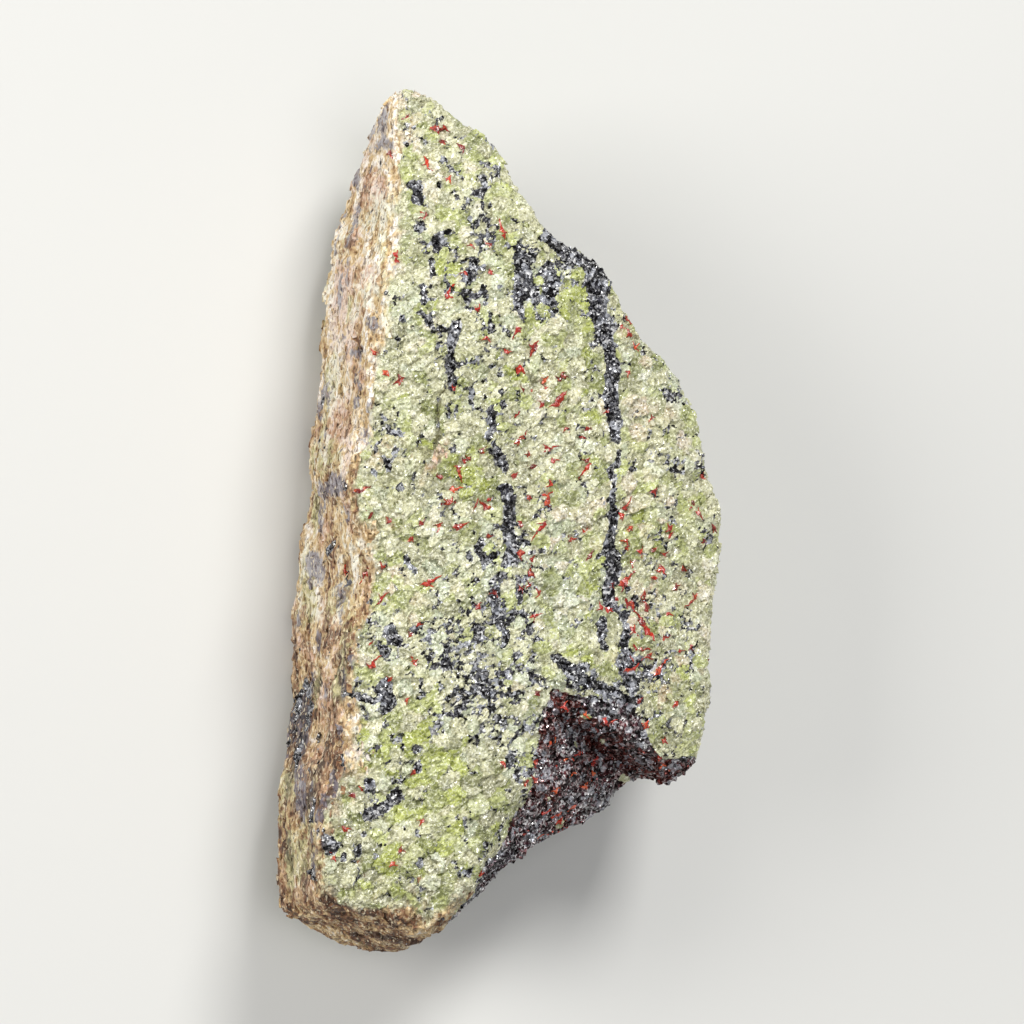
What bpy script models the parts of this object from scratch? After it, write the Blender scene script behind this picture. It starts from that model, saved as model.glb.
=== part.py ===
"""A broken hand piece of willemite ore, lying on its back.

The piece was split from a vein in one piece, so it is one closed solid. It is a flat slab, pointed at one end:
a fresh broken face on top, an old weathered joint face down its left side, a small weathered facet across the
blunt end, and a notch broken out of the lower right corner. +Y runs along the slab to its point, +X is across
it, and +Z is up. The origin is under the middle of the slab, on the surface that it rests on.

The solid is made the way the real one was: a block with the slab's two outlines, planes that split pieces off
its hidden underside, a wedge that takes out the notch, and then the rough, slightly rolling skin of broken rock.
"""

import bmesh
import bpy
from mathutils import Vector, noise

MM = 0.001

# Driving dimensions, in millimetres
THICKNESS = 35.0  # from the resting spot to the highest part of the fresh face
FACE_LEVEL = 30.0  # height at which the front outline is measured
BACK_LEVEL = 7.0  # height at which the back outline is measured
WAIST = 14.0  # below this height the skin's crown moves nothing
NET = 2.1  # edge length of the finished skin
NET_EASE = 0.5  # how far each easing pass moves the net towards its neighbours
SINK = 0.7  # the block starts this far below the surface, so that the resting spot comes out flat
CENTRING = (0.35, 0.64)  # moves the middle of the finished piece over the origin
RIDGE_X = -9.0  # the fresh face is highest along this line
RIGHT_FALL = 0.0046  # how fast the face falls away to the right of the ridge, per mm squared
LEFT_FALL = 0.0105  # the same to the left, up to the edge of the weathered face
POINT_START = 18.0  # from here the slab gets thinner towards its point
POINT_FALL = 0.0044
BLUNT_START = -42.0  # and from here towards the blunt end
BLUNT_FALL = 0.014

# Outline of the fresh face at FACE_LEVEL, clockwise from the point, as if the notch weren't there
FRONT_OUTLINE = [
    (-17.4, 58.0), (-14.9, 59.5), (-10.9, 57.6), (-8.5, 54.2), (-4.8, 52.9),
    (-2.1, 48.5), (0.5, 44.3), (3.6, 39.0), (7.6, 35.9), (11.8, 34.2),
    (13.6, 30.6), (17.9, 24.4), (22.3, 19.8), (25.7, 14.2), (26.9, 8.0),
    (29.1, 2.6), (29.9, -3.5), (28.8, -12.0), (28.7, -19.0), (26.8, -28.0),
    (26.6, -34.8), (23.6, -37.2), (19.4, -37.0), (13.4, -42.4), (5.6, -43.4),
    (-1.4, -48.4), (-6.2, -53.6), (-12.2, -58.2), (-20.0, -56.2), (-28.2, -54.4),
    (-28.4, -46.4), (-27.9, -39.2), (-25.6, -33.0), (-25.2, -23.0), (-22.9, -13.0),
    (-23.3, -4.0), (-24.5, 2.0), (-22.9, 10.0), (-21.5, 20.0), (-20.1, 28.0),
    (-19.3, 36.0), (-18.5, 45.0), (-18.0, 52.0),
]

# Outline of the back at BACK_LEVEL, point for point with the front one
BACK_OUTLINE = [
    (-16.6, 59.2), (-14.4, 59.0), (-11.2, 55.4), (-8.9, 52.6), (-5.4, 50.4),
    (-2.6, 46.6), (-0.4, 42.4), (2.8, 37.4), (6.8, 33.8), (10.6, 31.4),
    (12.7, 28.4), (17.2, 22.4), (21.6, 17.6), (24.9, 12.4), (26.4, 7.2),
    (28.2, 2.0), (28.8, -3.5), (27.8, -12.0), (27.4, -19.0), (26.2, -27.0),
    (25.8, -34.4), (22.8, -36.6), (19.0, -36.6), (13.0, -42.2), (6.0, -43.8),
    (-1.6, -49.2), (-7.2, -55.4), (-12.8, -62.0), (-20.6, -60.4), (-29.8, -54.8),
    (-30.2, -47.0), (-29.9, -40.0), (-28.8, -32.0), (-26.0, -21.0), (-26.5, -13.4),
    (-25.5, -4.0), (-24.1, 4.0), (-25.1, 11.0), (-23.5, 21.0), (-23.5, 29.0),
    (-23.0, 37.0), (-20.5, 45.4), (-18.6, 52.4),
]

# Planes that split pieces off the hidden sides: a point on each one and the way it faces
SPLITS = [
    ("right side, lower half", (28.6, -4.0, 17.0), (0.82, -0.04, -0.57)),
    ("right side, towards the point", (22.0, 17.0, 15.0), (0.66, 0.36, -0.66)),
    ("upper right edge", (4.0, 37.0, 15.0), (0.52, 0.42, -0.74)),
    ("under the lower right corner", (22.0, -34.0, 11.0), (0.52, -0.52, -0.68)),
    ("under the dark facet", (4.0, -46.0, 12.0), (0.50, -0.60, -0.62)),
    ("under the point", (-14.0, 57.4, 11.0), (-0.06, 0.42, -0.91)),
    ("under the blunt end", (-18.0, -60.0, 6.0), (-0.10, -0.62, -0.78)),
    ("left side, low", (-27.6, -30.0, 4.6), (-0.72, -0.10, -0.69)),
    ("left side, towards the point", (-22.6, 32.0, 5.2), (-0.70, 0.12, -0.70)),
    ("back, towards the right", (5.0, -4.0, 0.0), (0.20, -0.05, -0.98)),
    ("back, towards the point", (-10.0, 22.0, 0.0), (0.05, 0.17, -0.98)),
    ("back, towards the blunt end", (-14.0, -34.0, 0.0), (-0.12, -0.22, -0.97)),
]

# The notch: the edge it leaves in the fresh face, and where its two walls have got to lower down
NOTCH_TOP = 37.0
NOTCH_TOP_OUTLINE = [
    (2.8, -23.4), (1.4, -30.0), (0.4, -36.0), (-2.4, -40.6), (-6.6, -50.6),
    (-11.0, -56.4), (-2.0, -74.0), (50.0, -60.0), (44.0, -37.4), (19.6, -34.4),
    (11.4, -30.6), (8.0, -27.4),
]
NOTCH_LOW = 14.0
NOTCH_LOW_OUTLINE = [
    (21.2, -38.8), (20.6, -42.4), (16.0, -44.8), (10.6, -46.4), (2.6, -51.8),
    (-3.6, -57.6), (4.0, -76.0), (50.0, -64.0), (44.0, -38.6), (27.6, -38.6),
    (24.0, -38.8), (22.4, -38.8),
]

# Height steps where layers of rock broke off the fresh face: (start, end, width of the step, height)
LEDGES = [
    ((-10.2, 17.6), (-11.6, 7.2), 2.6, 0.9),
    ((-11.6, 7.2), (-20.6, -6.0), 3.2, 1.3),
    ((-14.0, -31.6), (-4.4, -30.4), 3.0, -0.8),
]
LEDGE_REACH = 9.0

# Rolling of the skin: the size of its swells and how far they move it
SWELLS = [(17.0, 0.75), (7.0, 0.40)]

ROCK_COLOUR = (0.36, 0.40, 0.20, 1.0)
ROCK_ROUGHNESS = 0.55


def clear_scene():
    for item in list(bpy.data.objects):
        bpy.data.objects.remove(item)


def rock_material():
    """Pale green broken rock."""
    material = bpy.data.materials.new("broken_willemite_ore")
    material.use_nodes = True
    shader = material.node_tree.nodes["Principled BSDF"]
    shader.inputs["Base Color"].default_value = ROCK_COLOUR
    shader.inputs["Roughness"].default_value = ROCK_ROUGHNESS
    shader.inputs["Metallic"].default_value = 0.0
    return material


def loft(name, low, low_z, high, high_z):
    """A closed solid between two outlines of the same number of points, given in millimetres."""
    shape = bmesh.new()
    rings = []
    for outline, z in ((low, low_z), (high, high_z)):
        rings.append([shape.verts.new(Vector((x, y, z)) * MM) for x, y in outline])
    below, above = rings
    count = len(below)
    for i in range(count):
        k = (i + 1) % count
        shape.faces.new((below[k], below[i], above[i], above[k]))
    shape.faces.new(below)
    shape.faces.new(above[::-1])
    bmesh.ops.triangulate(shape, faces=[f for f in shape.faces if len(f.verts) > 4])
    bmesh.ops.recalc_face_normals(shape, faces=shape.faces)
    mesh = bpy.data.meshes.new(name)
    shape.to_mesh(mesh)
    shape.free()
    piece = bpy.data.objects.new(name, mesh)
    bpy.context.scene.collection.objects.link(piece)
    return piece


def outline_at(z):
    """The block's outline at a height, on the straight lines between the two given outlines."""
    t = (z - BACK_LEVEL) / (FACE_LEVEL - BACK_LEVEL)
    pairs = zip(BACK_OUTLINE, FRONT_OUTLINE)
    return [(b[0] + (f[0] - b[0]) * t, b[1] + (f[1] - b[1]) * t) for b, f in pairs]


def split_off(mesh):
    """Cuts the block by each of the splitting planes and closes the cut with a flat face."""
    shape = bmesh.new()
    shape.from_mesh(mesh)
    for _, point, facing in SPLITS:
        bmesh.ops.bisect_plane(
            shape,
            geom=shape.verts[:] + shape.edges[:] + shape.faces[:],
            dist=1e-6,
            plane_co=Vector(point) * MM,
            plane_no=Vector(facing),
            clear_outer=True,
        )
        rim = [e for e in shape.edges if e.is_boundary]
        bmesh.ops.holes_fill(shape, edges=rim, sides=0)
    bmesh.ops.recalc_face_normals(shape, faces=shape.faces)
    shape.to_mesh(mesh)
    shape.free()


def take_out_notch(block):
    """Breaks the lower right corner out of the block."""
    wedge = loft("notch_wedge", NOTCH_LOW_OUTLINE, NOTCH_LOW, NOTCH_TOP_OUTLINE, NOTCH_TOP)
    wedge.hide_render = True
    wedge.display_type = "WIRE"
    cut = block.modifiers.new("notch", "BOOLEAN")
    cut.operation = "DIFFERENCE"
    cut.object = wedge


def even_skin(block):
    """Covers the cut block with an even net of faces, so that its skin can be moved."""
    net = block.modifiers.new("even_skin", "REMESH")
    net.mode = "VOXEL"
    net.voxel_size = NET * MM
    net.adaptivity = 0.0


def ease(mesh):
    """Takes the net's own stair steps off the edges."""
    shape = bmesh.new()
    shape.from_mesh(mesh)
    bmesh.ops.smooth_vert(
        shape, verts=shape.verts, factor=NET_EASE, use_axis_x=True, use_axis_y=True, use_axis_z=True
    )
    shape.to_mesh(mesh)
    shape.free()


def face_height(x, y):
    """Height of the fresh face in millimetres: a low ridge that falls away to the sides and to both ends."""
    side = x - RIDGE_X
    fall = (RIGHT_FALL if side > 0 else LEFT_FALL) * side * side
    towards_point = max(0.0, y - POINT_START)
    towards_blunt_end = max(0.0, BLUNT_START - y)
    fall += POINT_FALL * towards_point**2 + BLUNT_FALL * towards_blunt_end**2
    return THICKNESS - fall + sum(ledge(x, y, *step) for step in LEDGES)


def ledge(x, y, start, end, width, height):
    """Half the step's height above or below the face, on the right or the left of its line, fading away from it."""
    along = Vector(end) - Vector(start)
    offset = Vector((x, y)) - Vector(start)
    share = offset.dot(along) / along.length_squared
    off_end = max(0.0, -share, share - 1.0) * along.length
    across = (along.x * offset.y - along.y * offset.x) / along.length
    fade = max(0.0, 1.0 - abs(across) / LEDGE_REACH) * max(0.0, 1.0 - off_end / LEDGE_REACH)
    return 0.5 * height * max(-1.0, min(1.0, across / (0.5 * width))) * fade


def swell(place):
    """How far the skin stands out at a place, in millimetres."""
    return sum(depth * noise.noise(place / size) for size, depth in SWELLS)


def weather(mesh):
    """Gives the net the height of the fresh face, the rolling skin and the flat spot, and stands it in its place."""
    top = THICKNESS + SINK
    normals = [v.normal.copy() for v in mesh.vertices]
    for vertex, normal in zip(mesh.vertices, normals):
        place = vertex.co / MM
        if place.z > WAIST:
            share = (place.z - WAIST) / (top - WAIST)
            place.z = WAIST + share * (face_height(place.x, place.y) - WAIST)
        place += normal * swell(place)
        place.z = max(place.z, 0.0)
        vertex.co = (place + Vector((*CENTRING, 0.0))) * MM
    mesh.update()


def willemite_ore():
    """The whole piece."""
    block = loft("block", outline_at(-SINK), -SINK, outline_at(THICKNESS + SINK), THICKNESS + SINK)
    split_off(block.data)
    take_out_notch(block)
    even_skin(block)
    bpy.context.view_layer.update()
    shaped = block.evaluated_get(bpy.context.evaluated_depsgraph_get())
    mesh = bpy.data.meshes.new_from_object(shaped)
    mesh.name = "willemite_ore"
    ease(mesh)
    weather(mesh)
    mesh.shade_smooth()
    mesh.materials.clear()
    mesh.materials.append(rock_material())
    for helper in list(bpy.data.objects):
        bpy.data.objects.remove(helper)
    piece = bpy.data.objects.new("willemite_ore", mesh)
    bpy.context.scene.collection.objects.link(piece)
    return piece


clear_scene()
willemite_ore()
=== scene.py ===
"""The looks of a broken hand piece of willemite ore that lies on its back, seen from above.

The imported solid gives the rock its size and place. Here it gets its broken skin, and on that the grains
it is made of: glassy green willemite, black franklinite in streaks, red zincite squeezed in between, and
the tan weathered crust of the old joint face down its left side. Sizes are in millimetres until a mesh is
written.
"""

import collections
import functools
import itertools
import math

import bmesh
import bpy
import numpy as np
from mathutils import Matrix, Vector
from mathutils.kdtree import KDTree


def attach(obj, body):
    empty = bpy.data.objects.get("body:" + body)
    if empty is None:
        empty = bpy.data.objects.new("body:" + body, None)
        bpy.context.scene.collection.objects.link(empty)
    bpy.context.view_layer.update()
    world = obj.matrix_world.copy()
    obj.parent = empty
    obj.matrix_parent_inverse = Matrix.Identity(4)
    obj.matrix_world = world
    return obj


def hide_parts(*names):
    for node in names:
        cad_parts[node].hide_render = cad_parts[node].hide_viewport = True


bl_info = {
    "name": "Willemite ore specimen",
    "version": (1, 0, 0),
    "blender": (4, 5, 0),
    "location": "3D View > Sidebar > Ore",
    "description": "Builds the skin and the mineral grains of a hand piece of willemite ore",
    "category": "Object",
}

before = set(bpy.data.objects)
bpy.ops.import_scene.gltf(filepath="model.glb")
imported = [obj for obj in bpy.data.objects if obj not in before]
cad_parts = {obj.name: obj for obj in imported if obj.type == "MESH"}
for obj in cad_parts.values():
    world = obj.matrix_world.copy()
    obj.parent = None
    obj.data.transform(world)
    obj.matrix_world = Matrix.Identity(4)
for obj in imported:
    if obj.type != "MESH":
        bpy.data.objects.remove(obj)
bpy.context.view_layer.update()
NODE = "willemite_ore"
MM = 0.001

# The camera, and the picture it takes. Places on the fresh face are given in pixels of that picture
PICTURE = 1024
PIXEL = 0.14
SENSOR = 36.0
DISTANCE = 520.0
LOOKS_AT = (2.35, 1.64, 17.0)
LEAN_LEFT = 12.0
LEAN_DOWN = 6.0

# Streaks of franklinite on the fresh face: half their width, then x and y of each place on their line
STREAKS = [
    (8, 418, 190, 418, 201), (4, 416, 228, 421, 228), (3, 440, 234, 450, 231), (4, 437, 240, 437, 250),
    (4, 431, 262, 431, 274), (3, 424, 285, 424, 300), (3, 420, 312, 433, 330), (3, 446, 282, 450, 290),
    (2.5, 443, 160, 453, 170), (3, 455, 193, 456, 198), (3, 440, 184, 441, 188),
    (3, 484, 163, 492, 163, 499, 168, 498, 175), (3, 482, 175, 484, 190, 482, 200, 485, 215, 487, 230),
    (3, 468, 220, 475, 228, 490, 205), (7, 472, 264, 472, 277), (3, 485, 287, 485, 292),
    (3.5, 490, 315, 492, 332), (5.5, 458, 322, 452, 335, 450, 350, 451, 365, 451, 382),
    (4, 474, 390, 471, 402), (3.5, 459, 408, 459, 412), (4, 453, 447, 453, 451),
    (4, 490, 410, 492, 425, 489, 435, 497, 450, 502, 460, 505, 470), (4, 505, 403, 505, 407),
    (7, 505, 490, 509, 500, 511, 515, 508, 530, 512, 545, 508, 562),
    (4, 482, 540, 478, 550, 485, 560, 498, 552), (4, 469, 552, 469, 560), (3.5, 500, 575, 492, 580),
    (5, 497, 590, 494, 602, 497, 615, 502, 627, 507, 636, 504, 647), (3, 520, 578, 518, 590, 519, 602),
    (4, 523, 612, 530, 634), (9, 522, 258, 524, 275, 522, 295), (9, 548, 266, 552, 280, 548, 296),
    (9, 548, 236, 560, 245, 572, 258), (4, 518, 300, 524, 318), (13, 590, 258, 598, 275, 600, 288),
    (11, 596, 290, 598, 305, 603, 322), (7.5, 603, 322, 609, 345, 613, 370),
    (8, 613, 370, 611, 400, 616, 425), (5, 616, 425, 617, 440),
    (4, 617, 450, 618, 462, 610, 470, 614, 482, 612, 495, 614, 510),
    (6, 614, 510, 612, 530, 609, 545, 614, 560, 612, 575, 607, 590, 611, 606),
    (5, 603, 620, 602, 640, 608, 650), (7, 556, 659, 572, 671, 588, 683, 612, 694, 636, 702),
    (6, 632, 690, 630, 676), (5, 625, 615, 628, 630, 626, 645, 628, 660, 625, 672), (6, 391, 626, 393, 640),
    (4, 384, 650, 384, 654), (10, 384, 688, 388, 703), (4.5, 342, 692, 352, 694, 362, 697, 374, 702),
    (6, 397, 793, 385, 805, 367, 815), (5.5, 370, 783, 370, 788), (8, 320, 832, 325, 840, 331, 848),
    (3.5, 315, 862, 315, 888), (4.5, 421, 860, 421, 865), (3.5, 359, 849, 359, 852),
    (3, 405, 824, 405, 827), (3, 418, 831, 418, 834), (3, 486, 844, 486, 847), (3, 470, 871, 470, 874),
    (3, 345, 857, 345, 860), (3, 480, 784, 480, 787), (4, 512, 753, 512, 757), (4, 517, 776, 517, 780),
    (3, 502, 824, 502, 827), (3.5, 417, 746, 417, 750), (3.5, 418, 766, 418, 770),
    (3.5, 345, 728, 343, 748, 342, 770), (3.5, 406, 558, 415, 570), (3.5, 388, 432, 398, 432),
    (3, 395, 444, 395, 447), (3, 377, 447, 377, 450), (4, 388, 466, 388, 469), (3.5, 401, 486, 401, 489),
    (3, 375, 469, 375, 472), (3, 415, 474, 415, 477), (3.5, 402, 317, 402, 320),
]

# Places where black fills the seams between the green grains: x, y, reach across, reach down and strength
SCATTERS = [
    (482, 670, 62, 76, 0.6), (440, 640, 40, 40, 0.45), (596, 678, 40, 22, 0.5), (505, 560, 45, 60, 0.42),
    (540, 275, 44, 36, 0.55), (604, 330, 18, 60, 0.5), (480, 250, 40, 90, 0.42), (620, 560, 26, 90, 0.45),
    (460, 370, 24, 60, 0.42), (650, 650, 50, 90, 0.47), (392, 455, 34, 40, 0.4), (660, 420, 40, 70, 0.36),
    (520, 740, 34, 60, 0.5), (500, 420, 26, 60, 0.42), (565, 470, 44, 70, 0.34),
]
# How strongly it fills them everywhere else
LONE_GRAINS = 0.30

# The walls of the notch, nearly all franklinite, as an outline in the picture
NOTCH = [
    (553, 688), (545, 712), (540, 735), (535, 760), (535, 782), (526, 801), (515, 815), (506, 835),
    (499, 850), (486, 862), (481, 880), (473, 898), (446, 922), (520, 900), (640, 850), (720, 790),
    (694, 758), (664, 762), (654, 750), (646, 735), (640, 718), (630, 704), (600, 700), (575, 694),
]

# Zincite between the grains: its width, then x and y of each place on its line
VEINS = [
    (4, 403, 118, 408, 115), (7, 435, 127, 437, 133), (4, 441, 130, 446, 127, 448, 131),
    (4.5, 458, 145, 462, 148), (4, 440, 142, 443, 144), (4, 391, 152, 392, 156),
    (3.5, 426, 158, 428, 164, 430, 169), (4, 448, 179, 450, 182), (4, 395, 254, 397, 256),
    (3, 396, 261, 398, 263), (4.5, 421, 212, 424, 216, 427, 213), (6, 447, 298, 449, 291, 453, 285),
    (4, 500, 220, 501, 228, 503, 238), (3.5, 486, 242, 489, 245), (3, 471, 246, 474, 249),
    (4, 490, 271, 492, 274), (3.5, 465, 272, 467, 275), (4, 476, 307, 479, 311),
    (4.5, 514, 338, 516, 333, 520, 328), (5.5, 530, 355, 534, 350, 536, 342),
    (6.5, 516, 370, 521, 369, 524, 373), (4, 503, 349, 507, 352), (4, 486, 337, 489, 340),
    (4.5, 384, 373, 387, 376), (6.5, 398, 376, 401, 381), (3, 394, 384, 398, 381),
    (3.5, 373, 351, 375, 354), (3.5, 453, 389, 456, 387), (3.5, 543, 382, 547, 378),
    (5.5, 549, 406, 556, 404, 566, 392), (3.5, 515, 416, 519, 413), (3.5, 540, 407, 544, 403),
    (4, 522, 438, 526, 432), (4, 515, 443, 519, 440), (4.5, 545, 450, 551, 448, 558, 447),
    (4.5, 482, 452, 486, 447), (3.5, 586, 461, 590, 459), (3.5, 586, 431, 588, 428),
    (3, 563, 431, 567, 429), (4, 580, 478, 584, 472, 591, 464), (5.5, 458, 466, 460, 474, 462, 480),
    (4, 467, 462, 471, 459), (4.5, 451, 487, 457, 489, 461, 487), (3.5, 438, 475, 442, 477),
    (4.5, 441, 504, 447, 502, 451, 499), (4, 474, 512, 477, 499, 484, 505, 486, 511, 490, 507),
    (4.5, 453, 527, 461, 526, 468, 523), (4.5, 438, 530, 441, 524), (4.5, 546, 504, 547, 497, 553, 492),
    (3.5, 541, 494, 547, 497), (3.5, 549, 480, 551, 485), (4, 513, 476, 517, 474),
    (4.5, 519, 520, 521, 528), (3.5, 532, 540, 533, 536, 540, 529, 546, 522),
    (5, 515, 554, 520, 552, 524, 554), (4, 520, 552, 521, 558), (3.5, 530, 561, 534, 556),
    (5, 529, 575, 531, 570, 530, 566), (2.5, 527, 588, 531, 583), (4.5, 520, 585, 521, 592),
    (3.5, 537, 597, 539, 592), (5, 494, 590, 496, 597), (4, 477, 609, 480, 603), (3.5, 532, 616, 540, 614),
    (3.5, 569, 541, 573, 538, 575, 540), (3, 584, 531, 585, 534), (3, 587, 560, 591, 551),
    (4, 422, 584, 431, 581, 441, 576), (3.5, 382, 568, 385, 565), (3, 361, 576, 364, 573),
    (4, 369, 517, 372, 514), (3.5, 387, 523, 390, 520), (3.5, 420, 523, 424, 520),
    (3.5, 408, 541, 411, 538), (4, 353, 492, 360, 489, 370, 487), (4.5, 409, 637, 412, 633),
    (4, 371, 667, 375, 661, 381, 656), (4, 412, 656, 415, 664), (3, 417, 625, 420, 622),
    (3, 369, 644, 372, 642), (4, 388, 681, 392, 678), (3, 405, 701, 409, 698), (3.5, 411, 775, 415, 772),
    (4, 350, 792, 354, 797), (3.5, 360, 787, 363, 790), (5.5, 345, 828, 348, 832),
    (4.5, 536, 694, 541, 690), (3.5, 502, 764, 504, 767), (3.5, 420, 824, 423, 820),
    (3.5, 399, 852, 401, 847), (3.5, 391, 866, 394, 863), (4, 331, 854, 334, 857),
    (3.5, 619, 312, 623, 309), (3.5, 627, 330, 630, 334), (4, 626, 318, 629, 322),
    (3.5, 634, 345, 637, 349), (3.5, 626, 371, 630, 373), (3.5, 651, 421, 653, 418),
    (4, 700, 476, 704, 479), (4, 651, 492, 657, 489), (3.5, 625, 509, 628, 505, 630, 497),
    (4, 620, 513, 622, 519), (4, 697, 513, 701, 518), (3.5, 667, 530, 671, 526), (4, 703, 539, 705, 543),
    (4, 629, 531, 631, 528), (4, 626, 546, 628, 550), (3.5, 638, 551, 642, 554), (4, 653, 551, 657, 549),
    (4.5, 657, 572, 661, 567, 664, 574), (4, 683, 571, 687, 569), (3.5, 632, 569, 634, 562),
    (5, 619, 586, 624, 582, 630, 577, 635, 571), (3.5, 622, 592, 624, 582), (4, 675, 590, 679, 586),
    (4, 697, 595, 690, 601, 685, 607), (3.5, 610, 589, 613, 584), (5, 606, 609, 612, 611),
    (3, 598, 602, 600, 609), (5.5, 626, 600, 631, 605, 634, 612), (5.5, 634, 612, 641, 617, 643, 626),
    (5, 643, 626, 649, 632, 655, 640), (4.5, 632, 628, 637, 634), (5, 636, 646, 643, 650, 650, 648),
    (4.5, 641, 603, 648, 608), (4, 625, 671, 636, 668, 642, 660), (4, 665, 639, 669, 637),
    (4, 646, 656, 650, 654), (5, 656, 672, 660, 668, 667, 660), (4.5, 638, 702, 642, 698),
    (5, 645, 727, 647, 722), (4.5, 675, 707, 677, 703), (4, 663, 741, 667, 743), (3.5, 689, 650, 692, 646),
    (3, 585, 715, 588, 718), (4.5, 603, 720, 608, 724, 616, 720), (5, 592, 764, 597, 757),
    (4.5, 570, 776, 575, 773), (4, 553, 791, 558, 788), (4.5, 583, 786, 590, 782),
    (4.5, 569, 810, 575, 806), (4, 543, 813, 547, 811), (4, 523, 834, 527, 832), (4.5, 534, 760, 535, 768),
    (4.5, 533, 776, 535, 782), (3.5, 479, 876, 482, 873), (3.5, 563, 706, 567, 704),
    (4, 662, 765, 668, 768), (3.5, 538, 839, 542, 836), (3, 345, 565, 345, 575), (3, 361, 583, 366, 570),
    (2.5, 376, 606, 384, 596, 388, 592),
]

# Where small zincite grains are thick on the ground: x, y, reach across, reach down and strength
RED_PATCHES = [
    (640, 622, 26, 44, 1.0), (625, 560, 16, 50, 0.5), (560, 430, 50, 60, 0.25), (480, 490, 50, 50, 0.3),
    (622, 330, 12, 40, 0.6), (680, 560, 30, 70, 0.35), (600, 780, 50, 30, 0.7), (520, 370, 30, 30, 0.3),
]

# Patches of clear green willemite, of stained brown rock, and of pale rock, given in the same way
GREEN_PATCHES = [
    (560, 300, 34, 40, 0.9), (440, 270, 36, 60, 0.5), (400, 190, 26, 40, 0.5), (470, 140, 30, 30, 0.5),
    (510, 200, 24, 40, 0.6), (390, 740, 46, 40, 0.9), (440, 800, 60, 60, 0.8), (400, 870, 50, 36, 0.7),
    (520, 370, 60, 50, 0.5), (470, 470, 40, 30, 0.7), (600, 575, 14, 34, 0.9), (590, 420, 24, 60, 0.5),
    (560, 620, 40, 40, 0.5), (660, 500, 40, 60, 0.5), (680, 680, 26, 70, 0.5), (400, 400, 30, 34, 0.5),
    (375, 600, 20, 30, 0.6), (580, 650, 20, 20, 0.7), (500, 810, 30, 30, 0.6), (420, 430, 26, 30, 0.5),
]
STAINED_PATCHES = [
    (388, 450, 24, 26, 0.7), (632, 330, 22, 40, 0.8), (652, 425, 24, 40, 0.45), (355, 772, 20, 18, 0.8),
    (370, 560, 26, 40, 0.45), (372, 905, 60, 20, 0.75), (652, 680, 44, 60, 0.95), (400, 590, 44, 30, 0.4),
    (560, 560, 50, 60, 0.25), (640, 540, 40, 70, 0.45), (400, 130, 16, 40, 0.5), (405, 240, 14, 60, 0.35),
    (470, 905, 30, 24, 0.5), (500, 690, 40, 40, 0.3), (345, 680, 14, 60, 0.5),
]
PALE_PATCHES = [
    (560, 590, 50, 40, 0.8), (400, 300, 40, 60, 0.2), (490, 740, 60, 30, 0.4), (430, 660, 50, 50, 0.2),
    (540, 690, 40, 30, 0.6), (500, 300, 40, 40, 0.5), (460, 560, 50, 40, 0.4), (570, 500, 30, 60, 0.4),
    (660, 380, 30, 40, 0.4),
]

# The step in the fresh face where a layer broke off, and small ones further down: height, how deep its
# crevice and how strong the painted shade along its foot (under 0, a low ridge and a painted highlight along
# its upper edge), and its line
LEDGES = [
    (1.10, 0.90, [(452, 376), (447, 386), (440, 399), (438, 418), (440, 440), (439, 452)]),
    (1.40, -0.50, [(439, 452), (421, 462), (411, 485), (397, 508), (382, 530), (368, 549)]),
    (-0.45, 0.2, [(398, 744), (432, 741), (467, 736)]),
    (-0.40, 0.2, [(436, 816), (467, 812), (490, 800)]),
    (0.40, 0.2, [(560, 683), (572, 688), (583, 696)]),
]
# How far a ledge reaches, and how wide its step, its crevice and the painted line of shade and highlight
# along it are, in pixels
LEDGE_REACH, LEDGE_STEP, CREVICE_WIDTH, PAINTED_LINE_WIDTH = 24.0, 1.7, 1.8, 1.4
CREVICE_DEPTH = 0.80

# The steep wall inside the notch, coloured as rust and darkened with painted shade as it faces away from the
# light, and the fold at its foot with how deep it goes
STEEP_WALL = [
    (558, 686), (581, 703), (599, 719), (615, 730), (629, 742), (647, 751), (663, 755), (682, 765),
    (690, 772), (668, 780), (647, 782), (632, 779), (617, 769), (602, 758), (590, 746), (576, 732),
    (556, 716), (550, 700),
]
FOLD = [(556, 712), (576, 734), (598, 754), (616, 768), (634, 776)]
FOLD_DEPTH, FOLD_WIDTH = 1.3, 5.0

# Green bits left inside the notch and below its edge: x, y, reach across and reach down
WINDOWS = [
    (585, 716, 5, 4), (625, 775, 6, 4), (562, 822, 4, 5), (568, 688, 14, 4), (602, 742, 3, 3),
    (548, 800, 3, 4), (575, 745, 3, 3),
]

# Patches on the weathered side, given as above: grey clay, rosy brown, greenish cream, charcoal grey and
# black franklinite
CLAY = [
    (382, 117, 6, 18, 0.9), (387, 145, 10, 7, 0.9), (356, 168, 4, 16, 0.7), (346, 262, 3, 24, 0.6),
    (330, 290, 5, 18, 0.8), (372, 323, 7, 6, 0.9), (346, 334, 4, 4, 0.7), (355, 352, 9, 7, 0.7),
    (324, 392, 4, 7, 0.8), (334, 484, 10, 12, 0.9), (328, 515, 4, 14, 0.8), (320, 567, 11, 12, 1.0),
    (318, 640, 4, 20, 0.6), (300, 790, 8, 28, 0.9), (326, 690, 4, 18, 0.6), (342, 600, 4, 20, 0.6),
]
ROSE = [
    (374, 192, 16, 20, 0.9), (353, 232, 9, 14, 0.8), (366, 284, 14, 16, 0.8), (344, 420, 9, 30, 0.5),
    (352, 205, 6, 10, 0.7), (330, 612, 10, 20, 0.7), (300, 655, 14, 14, 0.5), (300, 780, 30, 40, 0.7),
    (300, 880, 30, 40, 0.5), (325, 700, 20, 40, 0.4),
]
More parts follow.
